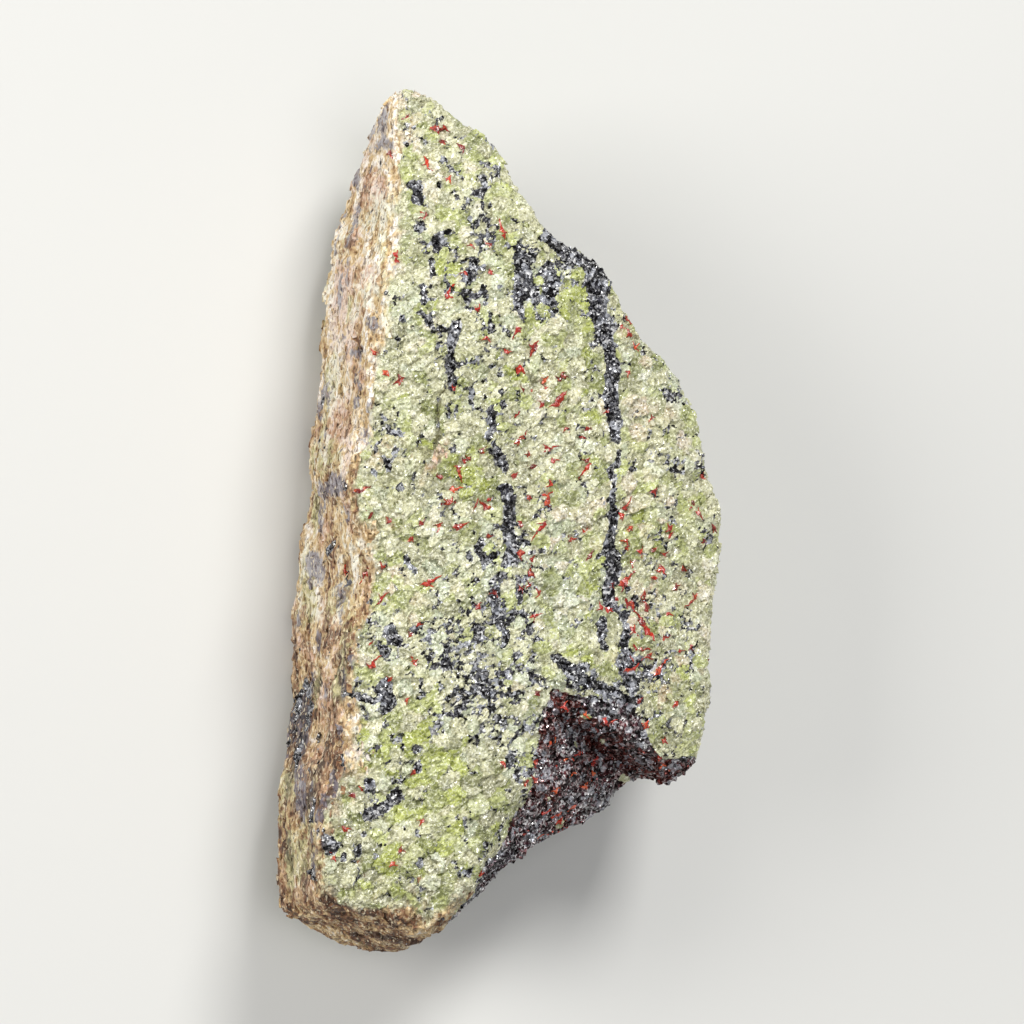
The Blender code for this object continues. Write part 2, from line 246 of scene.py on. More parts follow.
MOSS = [
    (314, 512, 9, 20, 1.0), (306, 588, 7, 34, 0.9), (312, 458, 9, 16, 0.6), (366, 118, 7, 24, 1.0),
    (284, 860, 7, 36, 0.7), (332, 372, 8, 24, 0.6), (392, 340, 8, 50, 0.6), (352, 310, 5, 20, 0.5),
    (382, 250, 6, 30, 0.4), (300, 860, 10, 26, 0.5), (336, 450, 7, 24, 0.4),
]
CHARCOAL = [
    (295, 718, 13, 34, 1.2), (290, 758, 6, 16, 0.8), (325, 842, 7, 10, 0.8), (318, 640, 4, 10, 0.5),
    (343, 680, 3, 20, 0.5), (312, 800, 3, 30, 0.5), (337, 630, 3, 8, 0.7), (344, 486, 4, 8, 0.6),
]
SIDE_BLACK = [
    (297, 714, 7, 16, 1.4), (289, 745, 4, 16, 1.2), (313, 800, 1.6, 40, 0.9), (313, 872, 2.4, 9, 1.0),
    (335, 545, 3, 4, 1.0), (303, 586, 2, 4, 0.9), (348, 580, 1.6, 14, 0.7), (344, 486, 3, 6, 0.8),
    (331, 435, 2, 5, 0.8), (318, 745, 2, 26, 0.7), (290, 690, 3, 8, 0.9), (323, 396, 2, 4, 0.8),
]

# How strongly black fills the seams, at so many pixels beyond the edge of a streak
STREAK_EDGE = [(-5.5, 1.30), (-2.6, 0.95), (-0.6, 0.58), (4.0, 0.0)]
# How far black reaches from a seam, in millimetres, for its strength there
BLACK_REACH = [(0.10, -0.06), (0.35, 0.10), (0.55, 0.24), (0.80, 0.50), (1.00, 1.60)]

# Heights, each with the height over which this comes about: the streaks wander below the first, bands of
# black take over below the second, and the patches have ended at the third
STREAKS_WANDER = (23.0, 9.0)
BANDS_BEGIN = (14.0, 6.0)
PATCHES_END = (16.0, 6.0)

# How the skin is broken: how much the rounded grains, their facets and the crust's flakes and slabs lean and
# step, how deep and wide the seams are, and the sizes of the flakes and slabs, drawn out along the joint
GRAIN_LEAN, GRAIN_LEAN_MOST, GRAIN_STEP = 0.62, 0.30, 0.26
SEAM_DEPTH, SEAM_WIDTH = 0.20, 0.25
FACET_LEAN, FACET_LEAN_WORN = 0.85, 0.3
FLAKE, FLAKE_LEAN, FLAKE_STEP = (1.3, 2.6, 1.3), (0.65, 0.3, 0.65), 0.16
SLAB, SLAB_LEAN, SLAB_STEP = (2.6, 7.0, 2.6), 0.35, 0.45
# Layers of noise on the notch's walls: height, width and seed
NOTCH_ROUGHNESS = [(0.60, 4.5, 47), (0.45, 2.4, 45), (0.30, 1.1, 46)]

# Small grains: how unequal they are, how far inside the black the black ones lie and how far outside it the
# green ones, and how high the lowest. Then width, thickness, lift and lean of each kind, the first three as
# shares of a grain's size, and how much longer than wide the crust's chips are
GRAIN_SPREAD, BLACK_INSIDE, GREEN_OUTSIDE, LOWEST_GRAIN = 0.33, 0.05, 0.08, 0.7
GREEN_BUILD = (1.15, 0.50, -0.08, 0.20)
BLACK_BUILD = (1.10, 0.80, -0.16, 0.6)
CRUST_BUILD = (0.85, 0.40, -0.05, 0.12)
CHIP_LENGTH = 1.9

# Zincite: how far its plates stand out and reach in, and the length of a step along a seam. The drawn ones
# have a place every so many pixels, and reach so many beyond their ends. For the small ones, how many starts
# are tried, and how many of those on the hidden sides are kept
ZINCITE_TOP, ZINCITE_FOOT, SEAM_WALK = 0.10, 0.45, 0.30
STROKE_STEP, STROKE_BEYOND = 2.0, 1.5
ZINCITE_STARTS, ZINCITE_HIDDEN = 9000, 300

# The parts in which the chips and the black grains are made: those of the fresh face, and all others
HALVES = ("fresh_face", "hidden_sides")
# The kinds of small grain
BLACK, GREEN, CRUST = range(3)
STEPS = np.array(list(itertools.product((-1, 0, 1), repeat=3)))
Grains = collections.namedtuple("Grains", "offset seam corner across dice")
Skin = collections.namedtuple("Skin", "places normals triangles crust")

# Patterns in the materials: a flaw and a crack of the willemite, a face of the franklinite with its painted
# glint, a stain on the crust, and the ragged edge of the black. Real faces and flaws are finer, and are drawn
# this coarse to show
FLAW, CRACK, BLACK_GLINT_CELL, STAIN, BLACK_EDGE = 0.5, 0.8, 0.34, 0.9, 0.35

# Lights: name, place and size in metres, power in watts, and colour
LIGHTS = [
    ("key_above", (0.22, 0.62, 0.80), 0.30, 7.85, "#fffefb"),
    ("fill_left", (-0.80, 0.15, 0.45), 0.50, 6.4, "#fffdf8"),
    ("overhead", (0.10, -0.10, 1.10), 0.60, 4.3, "#ffffff"),
]


def linear(code):
    """An sRGB hex colour as linear RGBA."""
    channels = [int(code[i : i + 2], 16) / 255 for i in (1, 3, 5)]
    return [c / 12.92 if c <= 0.04045 else ((c + 0.055) / 1.055) ** 2.4 for c in channels] + [1.0]


def limited(numbers):
    """Numbers kept from 0 to 1."""
    return np.clip(numbers, 0.0, 1.0)


def lattice(cell, seed):
    """A repeatable random number from 0 to 1 for each whole-numbered cell."""
    mixed = cell[..., 0] * 73856093 ^ cell[..., 1] * 19349663 ^ cell[..., 2] * 83492791
    mixed = mixed ^ (seed * 40503 + 977)
    mixed = (mixed ^ (mixed >> 13)) * 1274126177 & 0x7FFFFFFF
    return ((mixed ^ (mixed >> 16)) & 0xFFFF) / 0xFFFF


def noise(places, size, seed):
    """Smooth noise from -1 to 1 that changes over about the given size, which may differ by axis."""
    scaled = places / np.asarray(size, float) + 31.7 * (seed + 1)
    cell = np.floor(scaled).astype(np.int64)
    part = scaled - cell
    part = part * part * (3.0 - 2.0 * part)
    total = np.zeros(len(places))
    for corner in itertools.product((0, 1), repeat=3):
        share = np.prod(np.where(corner, part, 1.0 - part), axis=1)
        total += share * lattice(cell + corner, seed)
    return total * 2.0 - 1.0


def grains_at(places, size, seed):
    """The grain that each place belongs to, if grains of about this size fill the rock.

    It gives the offset from the grain's middle, how far the nearest seam with another grain is and how far
    the corner with a third one, the way across the seam, and three random numbers that the grain shares.
    """
    size = np.asarray(size, float) * np.ones(3)
    scaled = places / size + 17.3 * (seed + 1)
    cells = np.floor(scaled).astype(np.int64)[None] + STEPS[:, None]
    sites = cells + np.stack([lattice(cells, seed + k) for k in range(3)], axis=-1)
    away = (sites - scaled) * size
    far = np.einsum("ijk,ijk->ij", away, away)
    order = np.argpartition(far, 3, axis=0)[:3]
    order = np.take_along_axis(order, np.argsort(np.take_along_axis(far, order, 0), axis=0), 0)
    row = np.arange(len(places))
    first, second, third = (away[order[k], row] for k in range(3))
    gaps = []
    for other in (second, third):
        apart = np.linalg.norm(other - first, axis=1)
        gaps.append(((other * other).sum(axis=1) - (first * first).sum(axis=1)) / (2.0 * apart))
    across = (second - first) / np.linalg.norm(second - first, axis=1)[:, None]
    own = cells[order[0], row]
    dice = np.stack([lattice(own, seed + k) for k in (11, 12, 13)], axis=1)
    return Grains(-first, gaps[0], gaps[1], across, dice)


def rock_grains(places):
    """The willemite grains, about 2 mm wide, with seams that wander a little."""
    bent = places + 0.30 * np.stack([noise(places, 1.1, 71 + k) for k in range(3)], axis=1)
    return grains_at(bent, bpy.context.scene.ore_sizes.grain / MM, 75)


def camera_axes():
    """Unit vectors towards the camera, and to the right and up in its picture."""
    back = np.array([-math.tan(math.radians(LEAN_LEFT)), -math.tan(math.radians(LEAN_DOWN)), 1.0])
    back /= np.linalg.norm(back)
    right = np.cross([0.0, 1.0, 0.0], back)
    right /= np.linalg.norm(right)
    return back, right, np.cross(back, right)


def in_picture(places):
    """Where the camera sees each place, in pixels from the picture's upper left corner."""
    back, right, up = camera_axes()
    offset = places - (np.array(LOOKS_AT) + back * DISTANCE)
    scale = DISTANCE / PIXEL / -(offset @ back)
    return np.stack([PICTURE / 2 + scale * (offset @ right), PICTURE / 2 - scale * (offset @ up)], axis=1)


def from_picture(spot):
    """The camera's place and the direction in which it sees a pixel."""
    back, right, up = camera_axes()
    towards = (spot[0] - PICTURE / 2) * right - (spot[1] - PICTURE / 2) * up - back * (DISTANCE / PIXEL)
    return np.array(LOOKS_AT) + back * DISTANCE, towards / np.linalg.norm(towards)


def under(places, height):
    """How far each place is under a height, from 0 there to 1 where it is the second number deeper."""
    start, over = height
    return limited((start - places[:, 2]) / over)


def drifted(places):
    """Picture places for looking up the streaks. They wander more the deeper they lie."""
    spots = in_picture(places)
    for axis, far in enumerate((26.0, 18.0)):
        spots[:, axis] += far * under(places, STREAKS_WANDER) * noise(places, (30.0, 30.0, 11.0), 3 + axis)
        spots[:, axis] += 2.6 * noise(places, 1.7, 5 + axis)
    return spots


def paired(numbers):
    """A line's places from its numbers, which are x and y by turns."""
    return list(zip(numbers[::2], numbers[1::2]))


def along(spots, line):
    """How far each spot is from a line, and on which side of it."""
    gap = np.full(len(spots), np.inf)
    side = np.zeros(len(spots))
    for start, end in zip(line, line[1:]):
        start, run = np.array(start, float), np.array(end, float) - start
        offset = spots - start
        share = limited(offset @ run / (run @ run))
        far = np.linalg.norm(offset - share[:, None] * run, axis=1)
        nearer = far < gap
        gap[nearer] = far[nearer]
        side[nearer] = np.sign(run[0] * offset[nearer, 1] - run[1] * offset[nearer, 0])
    return gap, side


def inside(spots, outline):
    """True for each spot inside an outline."""
    within = np.zeros(len(spots), bool)
    for (ax, ay), (bx, by) in zip(outline, outline[1:] + outline[:1]):
        if ay == by:
            continue
        crosses = (spots[:, 1] > ay) != (spots[:, 1] > by)
        at = ax + (spots[:, 1] - ay) * (bx - ax) / (by - ay)
        within ^= crosses & (spots[:, 0] < at)
    return within


def patches(spots, places, spread, seed):
    """How strongly each place belongs to the patches, with ragged edges."""
    total = np.zeros(len(spots))
    ragged = 0.35 * noise(places, 4.0, seed) + 0.25 * noise(places, 1.6, seed + 1)
    for x, y, across, down, strength in spread:
        far = np.linalg.norm((spots - (x, y)) / (across, down), axis=1)
        total = np.maximum(total, strength * limited(1.5 - far + ragged))
    return total


def blackness(places, grains, crust):
    """How far a place lies inside the black that fills the seams between the grains, in millimetres."""
    spots = drifted(places)
    strength = np.full(len(places), LONE_GRAINS)
    for x, y, across, down, most in SCATTERS:
        far = np.linalg.norm((spots - (x, y)) / (across, down), axis=1)
        strength = np.maximum(strength, most * limited(1.6 - far))
    for half_width, *numbers in STREAKS:
        gap, _ = along(spots, paired(numbers))
        strength = np.maximum(strength, np.interp(gap - half_width, *zip(*STREAK_EDGE)))
    deep = under(places, BANDS_BEGIN) * (1.0 - crust)
    bands = noise(places, (8.0, 24.0, 6.0), 21) + 0.35 * noise(places, 2.4, 22)
    strength = np.maximum(strength, deep * np.interp(bands, [0.30, 0.65], [0.0, 1.2]))
    strength *= 1.0 - 0.55 * crust
    strength = np.maximum(strength, crust * patches(spots, places, SIDE_BLACK, 25))
    strength += 0.34 * noise(places, 1.2, 24) + 0.16 * noise(places, 3.0, 23) - 0.03
    notch = inside(spots, NOTCH)
    strength[notch] = 1.4
    strength -= 1.6 * patches(spots, places, [(*spot, 1.0) for spot in WINDOWS], 27) * notch
    small = grains_at(places, 1.0, 28)
    depth = np.minimum(grains.seam + 0.45 * grains.corner, 0.10 + small.seam + 0.45 * small.corner)
    return np.interp(strength, *zip(*BLACK_REACH)) - depth + 0.08 * noise(places, 0.45, 29)


def crust_share(places, normals):
    """How weathered a place is, on the joint face down the left side and across the blunt end."""
    ragged = 0.16 * noise(places, 5.0, 30) + 0.20 * noise(places, 2.0, 31) + 0.14 * noise(places, 0.8, 32)
    left = limited((-normals[:, 0] - 0.40 + ragged) / 0.32)
    blunt = limited((-normals[:, 1] - 0.34 + ragged) / 0.28)
    blunt *= limited((-6.0 - places[:, 0]) / 4.0) * (places[:, 1] < -44.0)
    fresh_under = limited((normals[:, 2] + 0.93) / 0.05)
    return np.maximum(left, blunt) * fresh_under


def ledge_lift(places, normals):
    """How far the ledges and the fold in the notch lift or lower the fresh face."""
    spots = in_picture(places)
    lift = np.zeros(len(places))
    for height, groove_and_painted_shade, line in LEDGES:
        gap, side = along(spots, line)
        step = limited(gap / LEDGE_STEP) * limited(1.0 - gap / LEDGE_REACH)
        groove = CREVICE_DEPTH * groove_and_painted_shade * limited(0.7 + 1.1 * noise(places, 1.3, 39))
        lift -= height * side * step + groove * np.exp(-((gap / CREVICE_WIDTH) ** 2))
    fold, _ = along(spots, FOLD)
    lift -= FOLD_DEPTH * np.exp(-((fold / FOLD_WIDTH) ** 2))
    return lift * (normals[:, 2] > 0.2)


def read(mesh):
    """A mesh's places in millimetres, its normals and its triangles."""
    mesh.calc_loop_triangles()
    places = np.empty(len(mesh.vertices) * 3, np.float32)
    mesh.vertices.foreach_get("co", places)
    normals = np.empty(len(mesh.vertices) * 3, np.float32)
    mesh.vertices.foreach_get("normal", normals)
    triangles = np.empty(len(mesh.loop_triangles) * 3, np.int32)
    mesh.loop_triangles.foreach_get("vertices", triangles)
    places, normals, triangles = (numbers.reshape(-1, 3) for numbers in (places, normals, triangles))
    return places.astype(float) / MM, normals.astype(float), triangles


def write(name, places, triangles, values):
    """A new flat-shaded object from places in millimetres and triangles, with numbers on its points."""
    mesh = bpy.data.meshes.new(name)
    mesh.vertices.add(len(places))
    mesh.vertices.foreach_set("co", (places * MM).astype(np.float32).ravel())
    mesh.loops.add(len(triangles) * 3)
    mesh.loops.foreach_set("vertex_index", triangles.astype(np.int32).ravel())
    mesh.polygons.add(len(triangles))
    mesh.polygons.foreach_set("loop_start", np.arange(0, len(triangles) * 3, 3, dtype=np.int32))
    mesh.update(calc_edges=True)
    mesh.shade_flat()
    for label, numbers in values.items():
        made = mesh.attributes.new(label, "FLOAT", "POINT")
        made.data.foreach_set("value", numbers.astype(np.float32))
    piece = bpy.data.objects.new(name, mesh)
    bpy.context.scene.collection.objects.link(piece)
    return piece


def point_tree(places):
    """A search tree over places."""
    tree = KDTree(len(places))
    for i, place in enumerate(places):
        tree.insert(place, i)
    tree.balance()
    return tree


def spread_out(places, room, order, free):
    """Picks places in order, leaving out each that is nearer to a picked one than their rooms allow."""
    tree = point_tree(places)
    largest = room.max()
    free = free.copy()
    kept = []
    for i in order:
        if not free[i]:
            continue
        kept.append(i)
        for _, j, gap in tree.find_range(places[i], 0.5 * (room[i] + largest)):
            if gap < 0.5 * (room[i] + room[j]):
                free[j] = False
    return np.array(kept)


def over_surface(skin, count, dice):
    """Random places all over the skin, with its normals and its crust there."""
    a, b, c = (skin.places[skin.triangles[:, i]] for i in range(3))
    area = np.linalg.norm(np.cross(b - a, c - a), axis=1)
    chosen = dice.choice(len(skin.triangles), size=count, p=area / area.sum())
    u, v = dice.random((2, count))
    over = u + v > 1.0
    u[over], v[over] = 1.0 - u[over], 1.0 - v[over]
    share = np.stack([1.0 - u - v, u, v], axis=1)
    corners = skin.triangles[chosen]
    fields = (skin.places, skin.normals, skin.crust)
    places, normals, crust = (np.einsum("ij,ij...->i...", share, field[corners]) for field in fields)
    return places, normals / np.linalg.norm(normals, axis=1)[:, None], crust


def rounded_body(settings):
    """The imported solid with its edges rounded, in a net that is twice as fine on the side that faces up."""
    body = bpy.data.objects.new("skin_form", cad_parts[NODE].data.copy())
    bpy.context.scene.collection.objects.link(body)
    weld = body.modifiers.new("weld", "WELD")
    weld.merge_threshold = 0.00001
    rounding = body.modifiers.new("rounding", "SUBSURF")
    rounding.levels = rounding.render_levels = 1
    net = body.modifiers.new("net", "REMESH")
    net.mode = "VOXEL"
    net.voxel_size = settings.skin_net
    net.adaptivity = 0.0
    bpy.context.view_layer.update()
    mesh = bpy.data.meshes.new_from_object(body.evaluated_get(bpy.context.evaluated_depsgraph_get()))
    bpy.data.objects.remove(body)
    shape = bmesh.new()
    shape.from_mesh(mesh)
    edges = {edge for face in shape.faces if face.normal.z > 0.30 for edge in face.edges}
    bmesh.ops.subdivide_edges(shape, edges=list(edges), cuts=1, use_grid_fill=True)
    shape.to_mesh(mesh)
    shape.free()
    made = read(mesh)
    bpy.data.meshes.remove(mesh)
    return made


@functools.lru_cache(maxsize=None)
def broken_skin():
    """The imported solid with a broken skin, where rounded willemite grains stand out of their seams."""
    settings = bpy.context.scene.ore_sizes
    places, normals, triangles = rounded_body(settings)
    dice = np.random.default_rng(5)
    crust = crust_share(places, normals)
    fresh = 1.0 - crust
    grains = rock_grains(places)
    black = blackness(places, grains, crust)
    filled = limited(black / 0.3)
    lean = (grains.dice - 0.5) * GRAIN_LEAN
    lift = np.clip(np.einsum("ij,ij->i", lean, grains.offset), -GRAIN_LEAN_MOST, GRAIN_LEAN_MOST)
    lift = lift + GRAIN_STEP * (grains.dice[:, 0] - 0.5)
    lift += SEAM_DEPTH * (1.0 - np.exp(-grains.seam / SEAM_WIDTH)) - 0.12
    lift *= fresh * (1.0 - 0.55 * filled)
    facets = grains_at(places, settings.facet / MM, 91)
    lean = (facets.dice - 0.5) * (FACET_LEAN - FACET_LEAN_WORN * crust)[:, None]
    lift += np.einsum("ij,ij->i", lean, facets.offset)
    flakes = grains_at(places, FLAKE, 93)
    lean = (flakes.dice - 0.5) * FLAKE_LEAN
    lift += crust * (np.einsum("ij,ij->i", lean, flakes.offset) + FLAKE_STEP * (flakes.dice[:, 0] - 0.5))
    slabs = grains_at(places, SLAB, 97)
    lean = (slabs.dice[:, 1] - 0.5) * SLAB_LEAN * slabs.offset[:, 2]
    lift += crust * (SLAB_STEP * (slabs.dice[:, 0] - 0.5) + lean)
    rough = inside(in_picture(places), NOTCH) * (normals[:, 2] > 0.0)
    lift += rough * sum(height * noise(places, width, seed) for height, width, seed in NOTCH_ROUGHNESS)
    lift += 0.36 * noise(places, 6.0, 41) + 0.06 * noise(places, 0.7, 43) - 0.12 * filled * fresh
    lift += ledge_lift(places, normals) - settings.inset / MM
    flat = limited(places[:, 2] / 0.8)
    drift = dice.normal(0.0, 0.05, places.shape)
    drift -= normals * np.einsum("ij,ij->i", drift, normals)[:, None]
    places = places + (normals * lift[:, None] + drift) * flat[:, None]
    places[:, 2] = np.maximum(places[:, 2], 0.0)
    return Skin(places, normals, triangles, crust)


@functools.lru_cache(maxsize=None)
def grain_sites():
    """Places for all the small grains, none too near another. Black and large ones are set first."""
    settings = bpy.context.scene.ore_sizes
    dice = np.random.default_rng(7)
    count = settings.trial_grains
    places, normals, crust = over_surface(broken_skin(), count, dice)
    black = blackness(places, rock_grains(places), crust)
    weathered = dice.random(count) < crust
    kind = np.where(black > BLACK_INSIDE, BLACK, np.where(weathered, CRUST, GREEN))
    usual = np.choose(kind, [settings.franklinite_grain, settings.willemite_chip, settings.crust_chip]) / MM
    size = usual * np.clip(np.exp(dice.normal(0.0, GRAIN_SPREAD, count)), 0.45, 2.0)
    size *= np.where(kind == BLACK, np.clip(0.55 + 1.4 * black, 0.55, 1.0), 1.0)
    room = size * np.choose(kind, [settings.packing, settings.spacing, 0.7 * settings.spacing])
    order = np.lexsort((-size, kind != BLACK))
    free = (places[:, 2] > LOWEST_GRAIN) & ((kind != GREEN) | (black < -GREEN_OUTSIDE))
    kept = spread_out(places, room, order, free)
    return places[kept], normals[kept], kind[kept], size[kept]


def hull(points):
    """The places and triangles of the smallest closed solid around some points."""
    shape = bmesh.new()
    for point in points:
        shape.verts.new(point)
    bmesh.ops.convex_hull(shape, input=shape.verts)
    bmesh.ops.delete(shape, geom=[v for v in shape.verts if not v.link_faces], context="VERTS")
    bmesh.ops.triangulate(shape, faces=shape.faces)
    bmesh.ops.recalc_face_normals(shape, faces=shape.faces)
    shape.verts.index_update()
    places = np.array([v.co[:] for v in shape.verts])
    triangles = np.array([[v.index for v in f.verts] for f in shape.faces])
    shape.free()
    return places, triangles


def blocky(dice):
    """A cube with its corners knocked about: how willemite breaks."""
    corners = np.array(list(itertools.product((-1.0, 1.0), repeat=3))) * 0.80
    return corners + dice.uniform(-0.34, 0.34, corners.shape)


def octahedral(dice):
    """An octahedron with worn points, which is how franklinite grows."""
    tips = np.vstack([np.eye(3), -np.eye(3)])
    points = [tip * 0.86 + other * 0.26 for tip in tips for other in tips if abs(tip @ other) < 0.5]
    return np.array(points) * dice.uniform(0.90, 1.12, (len(points), 1))


def chip(dice):
    """A squashed chip with a few sharp corners."""
    points = dice.normal(size=(7, 3))
    return points / np.linalg.norm(points, axis=1)[:, None] * dice.uniform(0.8, 1.15, (7, 1))


def forms(maker, count, seed):
    """A few ready-made crystal shapes."""
    dice = np.random.default_rng(seed)
    return [hull(maker(dice)) for _ in range(count)]


def crystals(name, places, normals, sizes, shapes, build, seed, values, along_y=1.0):
    """One joined mesh with a crystal at every place. build holds its width, thickness, lift and lean."""
    width, thickness, lift, lean = build
    dice = np.random.default_rng(seed)
    count = len(places)
    choice = dice.integers(len(shapes), size=count)
    up = normals + lean * dice.normal(size=(count, 3))
    up /= np.linalg.norm(up, axis=1)[:, None]
    guide = dice.normal(size=(count, 3)) + (0.0, 6.0 * (along_y - 1.0), 0.0)
    side = np.cross(up, guide)
    side /= np.linalg.norm(side, axis=1)[:, None]
    axes = np.stack([side, np.cross(up, side), up], axis=1)
    scale = np.ones((count, 3)) * (width, width * along_y, thickness) * 0.5 * sizes[:, None]
    scale[:, :2] *= dice.uniform(0.84, 1.20, (count, 2))
    middles = places + normals * (lift * sizes)[:, None]
    all_places, all_triangles, all_values = [], [], {label: [] for label in values}
    start = 0
    for k, (form, faces) in enumerate(shapes):
        chosen = np.flatnonzero(choice == k)
        points = np.einsum("pa,na,nac->npc", form, scale[chosen], axes[chosen]) + middles[chosen, None]
        all_places.append(points.reshape(-1, 3))
        offsets = start + np.arange(len(chosen))[:, None, None] * len(form)
        all_triangles.append((faces[None] + offsets).reshape(-1, 3))
        start += len(chosen) * len(form)
        for label, numbers in values.items():
            all_values[label].append(np.repeat(numbers[chosen], len(form)))
    joined = np.vstack(all_places)
    joined[:, 2] = np.maximum(joined[:, 2], 0.0)
    joined_values = {label: np.concatenate(parts) for label, parts in all_values.items()}
    return write(name, joined, np.vstack(all_triangles), joined_values)


def rock_colours(places, grains):
    """Numbers that colour the rock: how green, stained and pale it is, its seams, the painted shade and
    highlight along the ledges, and dice.
    """
    spots = in_picture(places)
    start, over = PATCHES_END
    above = limited((places[:, 2] - start) / over)
    hidden = 1.0 - above
    green = 0.55 * patches(spots, places, GREEN_PATCHES, 51) * above
    green = np.maximum(green, hidden * limited(noise(places, 9.0, 52) * 1.6))
    stain = patches(spots, places, STAINED_PATCHES, 54) * above
    stain = np.maximum(0.7 * stain, hidden * np.clip(noise(places, 13.0, 55) * 1.5 - 0.1, 0.0, 0.7))
    # Painted shade along the foot of each ledge, and painted highlight where its number is under 0: colour
    # standing in for the step's shadow and light
    crease = np.zeros(len(places))
    for _, groove_and_painted_shade, line in LEDGES:
        gap, _ = along(spots, line)
        painted_mark = above * groove_and_painted_shade * np.exp(-((gap / PAINTED_LINE_WIDTH) ** 2))
        painted_mark = painted_mark * limited(0.65 + 1.1 * noise(places, 0.9, 59))
        crease = np.where(np.abs(painted_mark) > np.abs(crease), painted_mark, crease)
    pale = patches(spots, places, PALE_PATCHES, 57)
    own = dict(zip(("shade_dice", "green_dice", "pale_dice"), grains.dice.T))
    # Painted shade: the grains are drawn darker towards low Y, where less light falls on the fresh face
    painted_falloff_shade = np.interp(places[:, 1], [-30.0, -15.0], [0.2, 0.0])
    own["shade_dice"] = own["shade_dice"] + 0.22 * noise(places, 4.0, 58) - painted_falloff_shade
    return {"green": green, "stain": stain, "pale": pale, "seam": grains.seam, "crease": crease, **own}


def crust_colours(places):
    """Numbers that colour the crust: its shade from brown to cream, and how grey, rosy or greenish it is."""
    shade = 0.66 + 0.40 * noise(places, (3.0, 7.0, 3.0), 61) + 0.36 * noise(places, (1.3, 2.8, 1.3), 62)
    shade += np.interp(places[:, 1], [-48.0, -18.0, 10.0, 38.0], [-0.30, -0.13, 0.07, 0.22])
    blunt = limited((-50.0 - places[:, 1]) / 4.0)
    shade -= 0.10 * blunt
    spots = drifted(places)
    above = limited((places[:, 2] - 2.5) / 3.0)
    clay = noise(places, (3.0, 8.0, 3.0), 63) + 0.6 * noise(places, 1.6, 64) - 0.35
    clay = np.clip(clay * 2.0, 0.0, 0.8) * (1.0 - 0.2 * above)
    clay = np.maximum(clay, above * patches(spots, places, CLAY, 65))
    rose, moss = above * patches(spots, places, ROSE, 66), above * patches(spots, places, MOSS, 67)
    rose = np.maximum(rose, 0.75 * limited(noise(places, 5.0, 68)))
    moss = np.maximum(moss, 0.5 * limited(noise(places, 6.0, 69)))
    charcoal = above * patches(spots, places, CHARCOAL, 60)
    clay = np.maximum(clay, charcoal)
    shade -= 0.55 * charcoal
    shade += 0.10 * limited(moss)
    kinds = {"clay": clay, "rose": rose, "moss": moss}
    return {"shade": limited(shade), **{label: kind * (1.0 - blunt) for label, kind in kinds.items()}}


def rust_and_shade_colours(places):
    """How much rust the franklinite shows: in patches in the notch, and fully on its steep wall, where the
    darker colour is partly painted shade, as that wall faces away from the light.
    """
    spots = in_picture(places) + 2.5 * np.stack([noise(places, 1.0, 66), noise(places, 1.0, 67)], axis=1)
    above = places[:, 2] > 6.0
    patchy = np.clip(0.47 + 0.8 * noise(places, 4.0, 70), 0.1, 1.0)
    return {"rust": above * np.maximum(patchy * inside(spots, NOTCH), inside(spots, STEEP_WALL))}


def node(tree, kind, settings=None, inputs=None, stops=None):
    """Adds a shader node and gives its outputs.

    It takes the node's settings, values or sockets for its inputs, and a ramp's places and colours.
    """
    made = tree.nodes.new("ShaderNode" + kind)
    for key, value in (settings or {}).items():
        setattr(made, key, value)
    for key, value in (inputs or {}).items():
        if isinstance(value, bpy.types.NodeSocket):
            tree.links.new(value, made.inputs[key])
        else:
            made.inputs[key].default_value = value
    for i, (place, colour) in enumerate(stops or []):
        element = made.color_ramp.elements[i] if i < 2 else made.color_ramp.elements.new(place)
        element.position = place
        element.color = colour
    return made.outputs


def shades(label, *steps):
    """A ramp's places and colours from one of the rock's: darker under 1, and mixed with white over 1."""
    colour = getattr(bpy.context.scene.ore_colours, label)
    for place, much in steps:
        yield place, [c * min(much, 1.0) + (1.0 - c) * max(much - 1.0, 0.0) for c in colour] + [1.0]


def layered(tree, colour, layers):
    """Lays colours over one another, each as far as its share says."""
    for share, other in layers:
        colour = node(tree, "Mix", {"data_type": "RGBA"}, {0: share, 6: colour, 7: other})[2]
    return colour


def specked(tree, colour, size, specks, drawn=1.0):
    """Lays random specks over a colour: their share of the cells, hex colour and strength.

    Real ones are too fine to show, so they are drawn two pixels wide or more. They may be drawn out along Y.
    """
    where = node(tree, "TexCoord")["Object"]
    inputs = {0: where, 1: (1.0, 1.0 / drawn, 1.0)}
    where = node(tree, "VectorMath", {"operation": "MULTIPLY"}, inputs)[0]
    cells = node(tree, "TexVoronoi", None, {"Vector": where, "Scale": 1.0 / (size * MM)})
    random = node(tree, "SeparateColor", None, {0: cells["Color"]})
    layers = []
    for channel, (share, code, strength) in enumerate(specks):
        inputs = {0: random[channel], 1: share, 2: 0.6 * share, 3: 0.0, 4: strength}
        layers.append((node(tree, "MapRange", None, inputs)[0], linear(code)))
    return layered(tree, colour, layers)


def glitter(tree, size, strength):
    """A normal that tips a different way in each small cell, as the faces of fine grains do.

    Real faces are finer still. They are drawn two to three pixels wide, so that they show.
    """
    where = node(tree, "TexCoord")["Object"]
    cells = node(tree, "TexVoronoi", None, {"Vector": where, "Scale": 1.0 / (size * MM)})
    middle = node(tree, "VectorMath", {"operation": "SUBTRACT"}, {0: cells["Color"], 1: (0.5,) * 3})
    tipped = node(tree, "VectorMath", {"operation": "SCALE"}, {0: middle[0], "Scale": strength})
    facing = node(tree, "NewGeometry")["Normal"]
    whole = node(tree, "VectorMath", {"operation": "ADD"}, {0: facing, 1: tipped[0]})
    return node(tree, "VectorMath", {"operation": "NORMALIZE"}, {0: whole[0]})[0]


